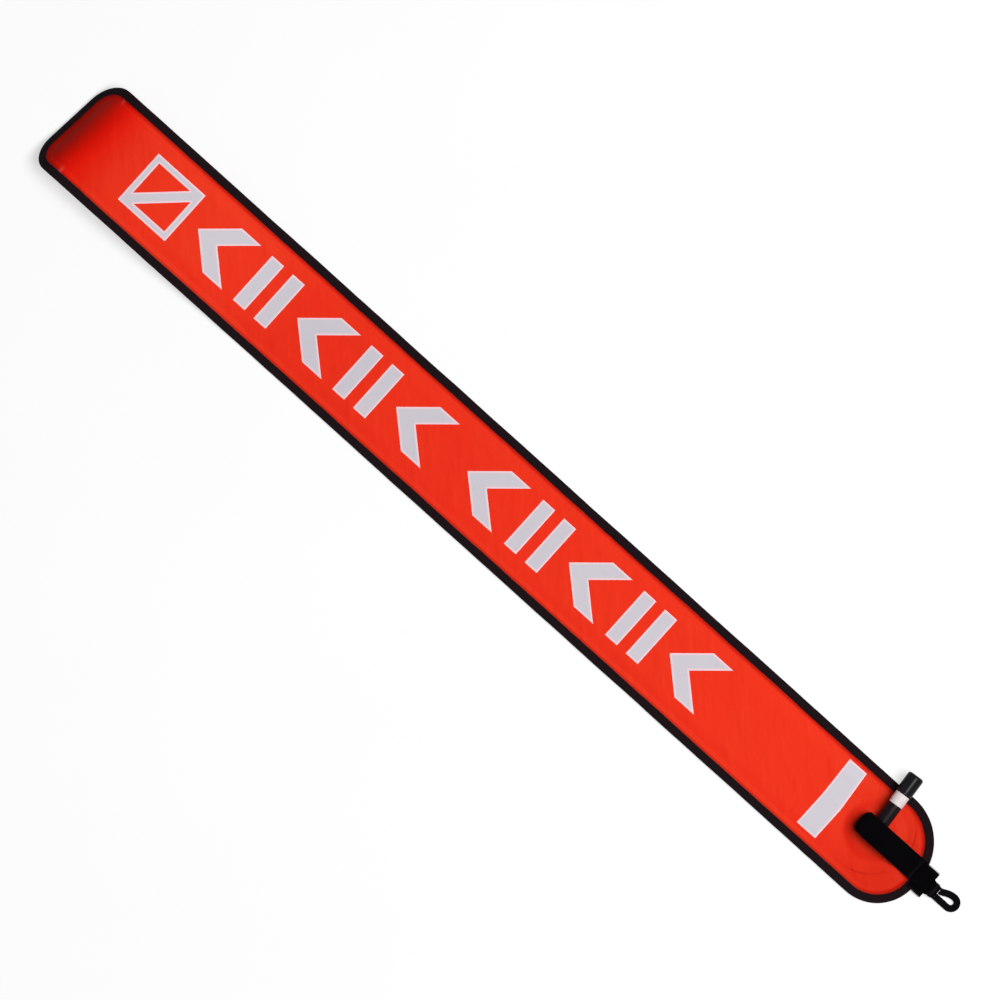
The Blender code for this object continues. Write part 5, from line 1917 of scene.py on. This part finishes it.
    def anchor_sections(self) -> list[Section]:
        """The gathered end's sections, closely spaced along it.

        Returns:
            Y, X, width, underside and top of each.
        """
        shape, gap = self.shape, self.shape.gap
        low = shape.tape_top + gap
        layers = 2 * self.thick + 2 * gap
        head = low + self.thick + gap
        waist_y = self.tab_low - gap
        low_z, high_z = self.end_z[0] - 0.1 * MM, self.end_z[1] + 0.1 * MM
        end = (self.tail_y, self.end_x, self.end_width + 0.4 * MM, low_z, high_z)
        knots = (
            (self.end_y - gap, self.x, self.width, low, low + layers),
            (self.tab_top + gap, self.x, self.width, head, head + layers),
            (shape.bottom, 3.6 * MM, 21 * MM, head, head + layers),
            (waist_y, 1.5 * MM, 18.0 * MM, head, head + layers),
            (waist_y - 5 * MM, self.end_x, 15.25 * MM, (low_z + head) / 2, self.end_z[1] + 2 * MM),
            end,
        )
        out = []
        for first, second in zip(knots, knots[1:]):
            count = max(1, round((first[0] - second[0]) / (0.6 * MM)))
            out += [tuple(a + (b - a) * i / count for a, b in zip(first, second)) for i in range(count)]
        out.append(end)
        for _ in range(3):
            triples = zip(out, out[1:], out[2:])
            middle = [tuple((p + 2 * q + r) / 4 for p, q, r in zip(*triple)) for triple in triples]
            out = [out[0], *middle, out[-1]]
        return out

    def anchor_ring(self, section: Section, grow: float = 0.0) -> list[Vector]:
        """Points round one section of the gathered end, with its pleats.

        Args:
            section: Its Y, X, width, underside and top.
            grow: How far outside the surface the points lie.

        Returns:
            The points.
        """
        y, x, width, bottom, top = section
        gathered = ease((self.end_y - y) / (16 * MM))
        half, tall = width / 2 + grow, (top - bottom) / 2 + grow
        ring = []
        for i in range(self.end_steps):
            angle = math.tau * i / self.end_steps
            c, s = math.cos(angle), math.sin(angle)
            across = half * math.copysign(abs(c) ** 0.42, c)
            up = tall * math.copysign(abs(s) ** 0.55, s)
            fold = 0.5 - 0.5 * math.cos(math.tau * (4.5 * across / width + 0.18 * math.sin(y / (4 * MM))))
            up -= math.copysign(0.85 * MM * gathered * fold * abs(s) ** 1.5, up)
            ring.append(Vector((x + across, y, (bottom + top) / 2 + up)))
        return ring

    def anchor(self) -> None:
        """The gathered end of the strap, with the whipping across it and the hollow the cord goes into."""
        sections = self.anchor_sections()
        rings = [self.anchor_ring(section) for section in sections]
        outer = rings[-1]
        y, x, _, bottom, top = sections[-1]
        centre = Vector((x, y, (bottom + top) / 2))
        for scale, back in ((0.97, -0.3), (0.90, -0.2), (0.86, 0.4), (0.84, 1.6)):
            inner = centre + Vector((0, back * MM, 0))
            rings.append([inner + (p - centre) * scale for p in outer])
        shares = [abs(2 * j / self.end_steps - 1) for j in range(self.end_steps + 1)]
        spots = [0.45 * self.width * (2 * share - 1) for share in shares]
        marks = []
        walked = 0.0
        for before, ring in zip(rings[:1] + rings, rings):
            walked += (ring[0] - before[0]).length
            marks.append([(spot, walked) for spot in spots])
        mesh = grid_mesh("gathered_end", rings, {"cloth": marks}, loop_columns=True)
        with edited(mesh) as bm:
            bmesh.ops.holes_fill(bm, edges=[e for e in bm.edges if e.is_boundary])
            bmesh.ops.recalc_face_normals(bm, faces=bm.faces)
        add_piece(mesh, self.finishes.webbing, replaces=["strap_anchor"])
        self.whipping(sections)

    def whipping(self, sections: Sequence[Section]) -> None:
        """Turns of thread wound round the gathered end.

        Args:
            sections: The gathered end's sections.
        """
        start, steps = self.tail_y + 2.2 * MM, self.end_steps
        line = []
        for i in range(self.whip_turns * steps + 1):
            y = start + self.whip_pitch * i / steps
            near = min(sections, key=lambda section: abs(section[0] - y))
            spot = self.anchor_ring(near, 0.28 * MM)[i % steps]
            spot.y = y + 0.45 * MM * math.sin(math.tau * (i % steps) / steps)
            line.append(spot)
        fine = softened(resampled(line, 0.5 * MM), 2)
        thread = tube_mesh("end_whipping", [fine], self.whip_thread, 8)
        add_piece(thread, self.finishes.thread)

    def tacks(self) -> None:
        """Close rows of thread across the strap where it goes into the gathered end."""
        top = self.shape.tape_top + 3 * self.shape.gap + 2 * self.thick
        stitch = ((-1.3, -0.12), (-0.6, 0.16), (0.6, 0.16), (1.3, -0.12))
        lines = []
        for row_y in (1.5 * MM, -1.7 * MM):
            for i in range(self.tack_count):
                x = self.x + (i - (self.tack_count - 1) / 2) * self.tack_pitch
                lean = 0.2 * MM * (-1) ** i
                y = self.end_y + row_y
                lines.append([Vector((x + lean * a, y + a * MM, top + b * MM)) for a, b in stitch])
        threads = tube_mesh("strap_tacks", lines, self.tack_thread)
        add_piece(threads, self.finishes.thread)


# The studio

def seen_rays(desk: NodeDesk) -> bpy.types.NodeSocket:
    """A mask of the rays that show the background: straight, by reflection or through glass.

    Args:
        desk: The desk of the material or the world.

    Returns:
        1 for those rays and 0 for the rest.
    """
    rays = desk.node("LightPath", {}).outputs
    straight = desk.maths("MAXIMUM", rays["Is Camera Ray"], rays["Is Transmission Ray"])
    return desk.maths("MAXIMUM", straight, rays["Is Glossy Ray"])


@dataclass
class Studio:
    """The overhead camera, the soft lights, the pale floor and the world."""

    aim: Plan = (1.8 * MM, -9.5 * MM)
    turn: float = -48.0
    height: float = 12.0
    frame_width: float = 1.0
    sensor: float = 36.0
    floor_z: float = -0.35 * MM
    key_level: float = 0.89
    key_place: tuple[float, float, float] = (1.15, -1.90, 5.2)
    key_size: float = 3.0
    top_level: float = 0.03
    top_place: tuple[float, float, float] = (-0.2, 0.1, 2.6)
    top_size: float = 2.2
    world_level: float = 0.07
    floor_glow: float = 0.62
    floor_half: float = 6.0
    floor_tones: tuple[float, float] = (0.415, 0.425)

    def camera(self) -> None:
        """Sets the camera straight above, at the photograph's turn."""
        lens = bpy.data.cameras.new("camera")
        lens.sensor_width = self.sensor
        lens.lens = self.sensor * self.height / self.frame_width
        lens.clip_end = 60.0
        lens.dof.use_dof = False
        camera = bpy.data.objects.new("camera", lens)
        camera.location = (*self.aim, self.height)
        camera.rotation_euler = (0, 0, math.radians(self.turn))
        bpy.context.scene.collection.objects.link(camera)
        bpy.context.scene.camera = camera

    def light(self, name: str, place: Vector, size: float, level: float) -> None:
        """Adds a soft square light that looks at the buoy's middle.

        Args:
            name: Its name.
            place: Where it hangs.
            size: Its side.
            level: The brightness that it gives to a white floor below.
        """
        lamp = bpy.data.lights.new(name, "AREA")
        lamp.shape = "SQUARE"
        lamp.size = size
        lamp.energy = level * math.pi**2 * place.length**2 / (place.z / place.length)
        made = bpy.data.objects.new(name, lamp)
        made.location = place
        made.rotation_euler = place.to_track_quat("Z", "Y").to_euler()
        bpy.context.scene.collection.objects.link(made)

    def build(self) -> None:
        """Builds the lights, the floor and the world."""
        self.light("key", Vector(self.key_place), self.key_size, self.key_level)
        self.light("overhead", Vector(self.top_place), self.top_size, self.top_level)
        world = bpy.data.worlds.new("studio")
        world.use_nodes = True
        desk = NodeDesk(world.node_tree)
        level = desk.ramp(seen_rays(desk), 0.0, 1.0, self.world_level, 1.0)
        background = world.node_tree.nodes["Background"]
        background.inputs["Color"].default_value = (1, 1, 1, 1)
        desk.feed(background.inputs["Strength"], level)
        bpy.context.scene.world = world
        bpy.context.scene.view_settings.view_transform = "Standard"
        self.floor()

    def floor(self) -> None:
        """The pale floor, which keeps the buoy's shadow."""
        skin = Surface("floor", {"Roughness": 0.9, "Specular IOR Level": 0.0, "Emission Color": (1, 1, 1)})
        mottle = skin.ramp(skin.grain(skin.place(), 3.0), 0.3, 0.7)
        tones = ((tone, tone, tone) for tone in self.floor_tones)
        glow = skin.times(seen_rays(skin), self.floor_glow)
        skin.feed_all(skin.shader, {"Base Color": skin.mixed(mottle, *tones), "Emission Strength": glow})
        half, z = self.floor_half, self.floor_z
        mesh = bpy.data.meshes.new("floor")
        corners = [(-half, -half, z), (half, -half, z), (half, half, z), (-half, half, z)]
        mesh.from_pydata(corners, [], [(0, 1, 2, 3)])
        mesh.materials.append(skin.made)
        floor = bpy.data.objects.new("floor", mesh)
        bpy.context.scene.collection.objects.link(floor)


def main() -> None:
    """Builds the whole scene."""
    logging.basicConfig(level=logging.INFO, format="%(name)s: %(message)s")
    studio = Studio()
    studio.camera()
    shape = BagShape()
    finishes = Finishes.make()
    strap = StrapAndCord(shape, finishes)
    strap.build_cords()
    Bag(shape, finishes).build()
    Inflator(shape, finishes).build()
    strap.build()
    studio.build()
    bpy.context.view_layer.update()


if __name__ == "__main__":
    main()
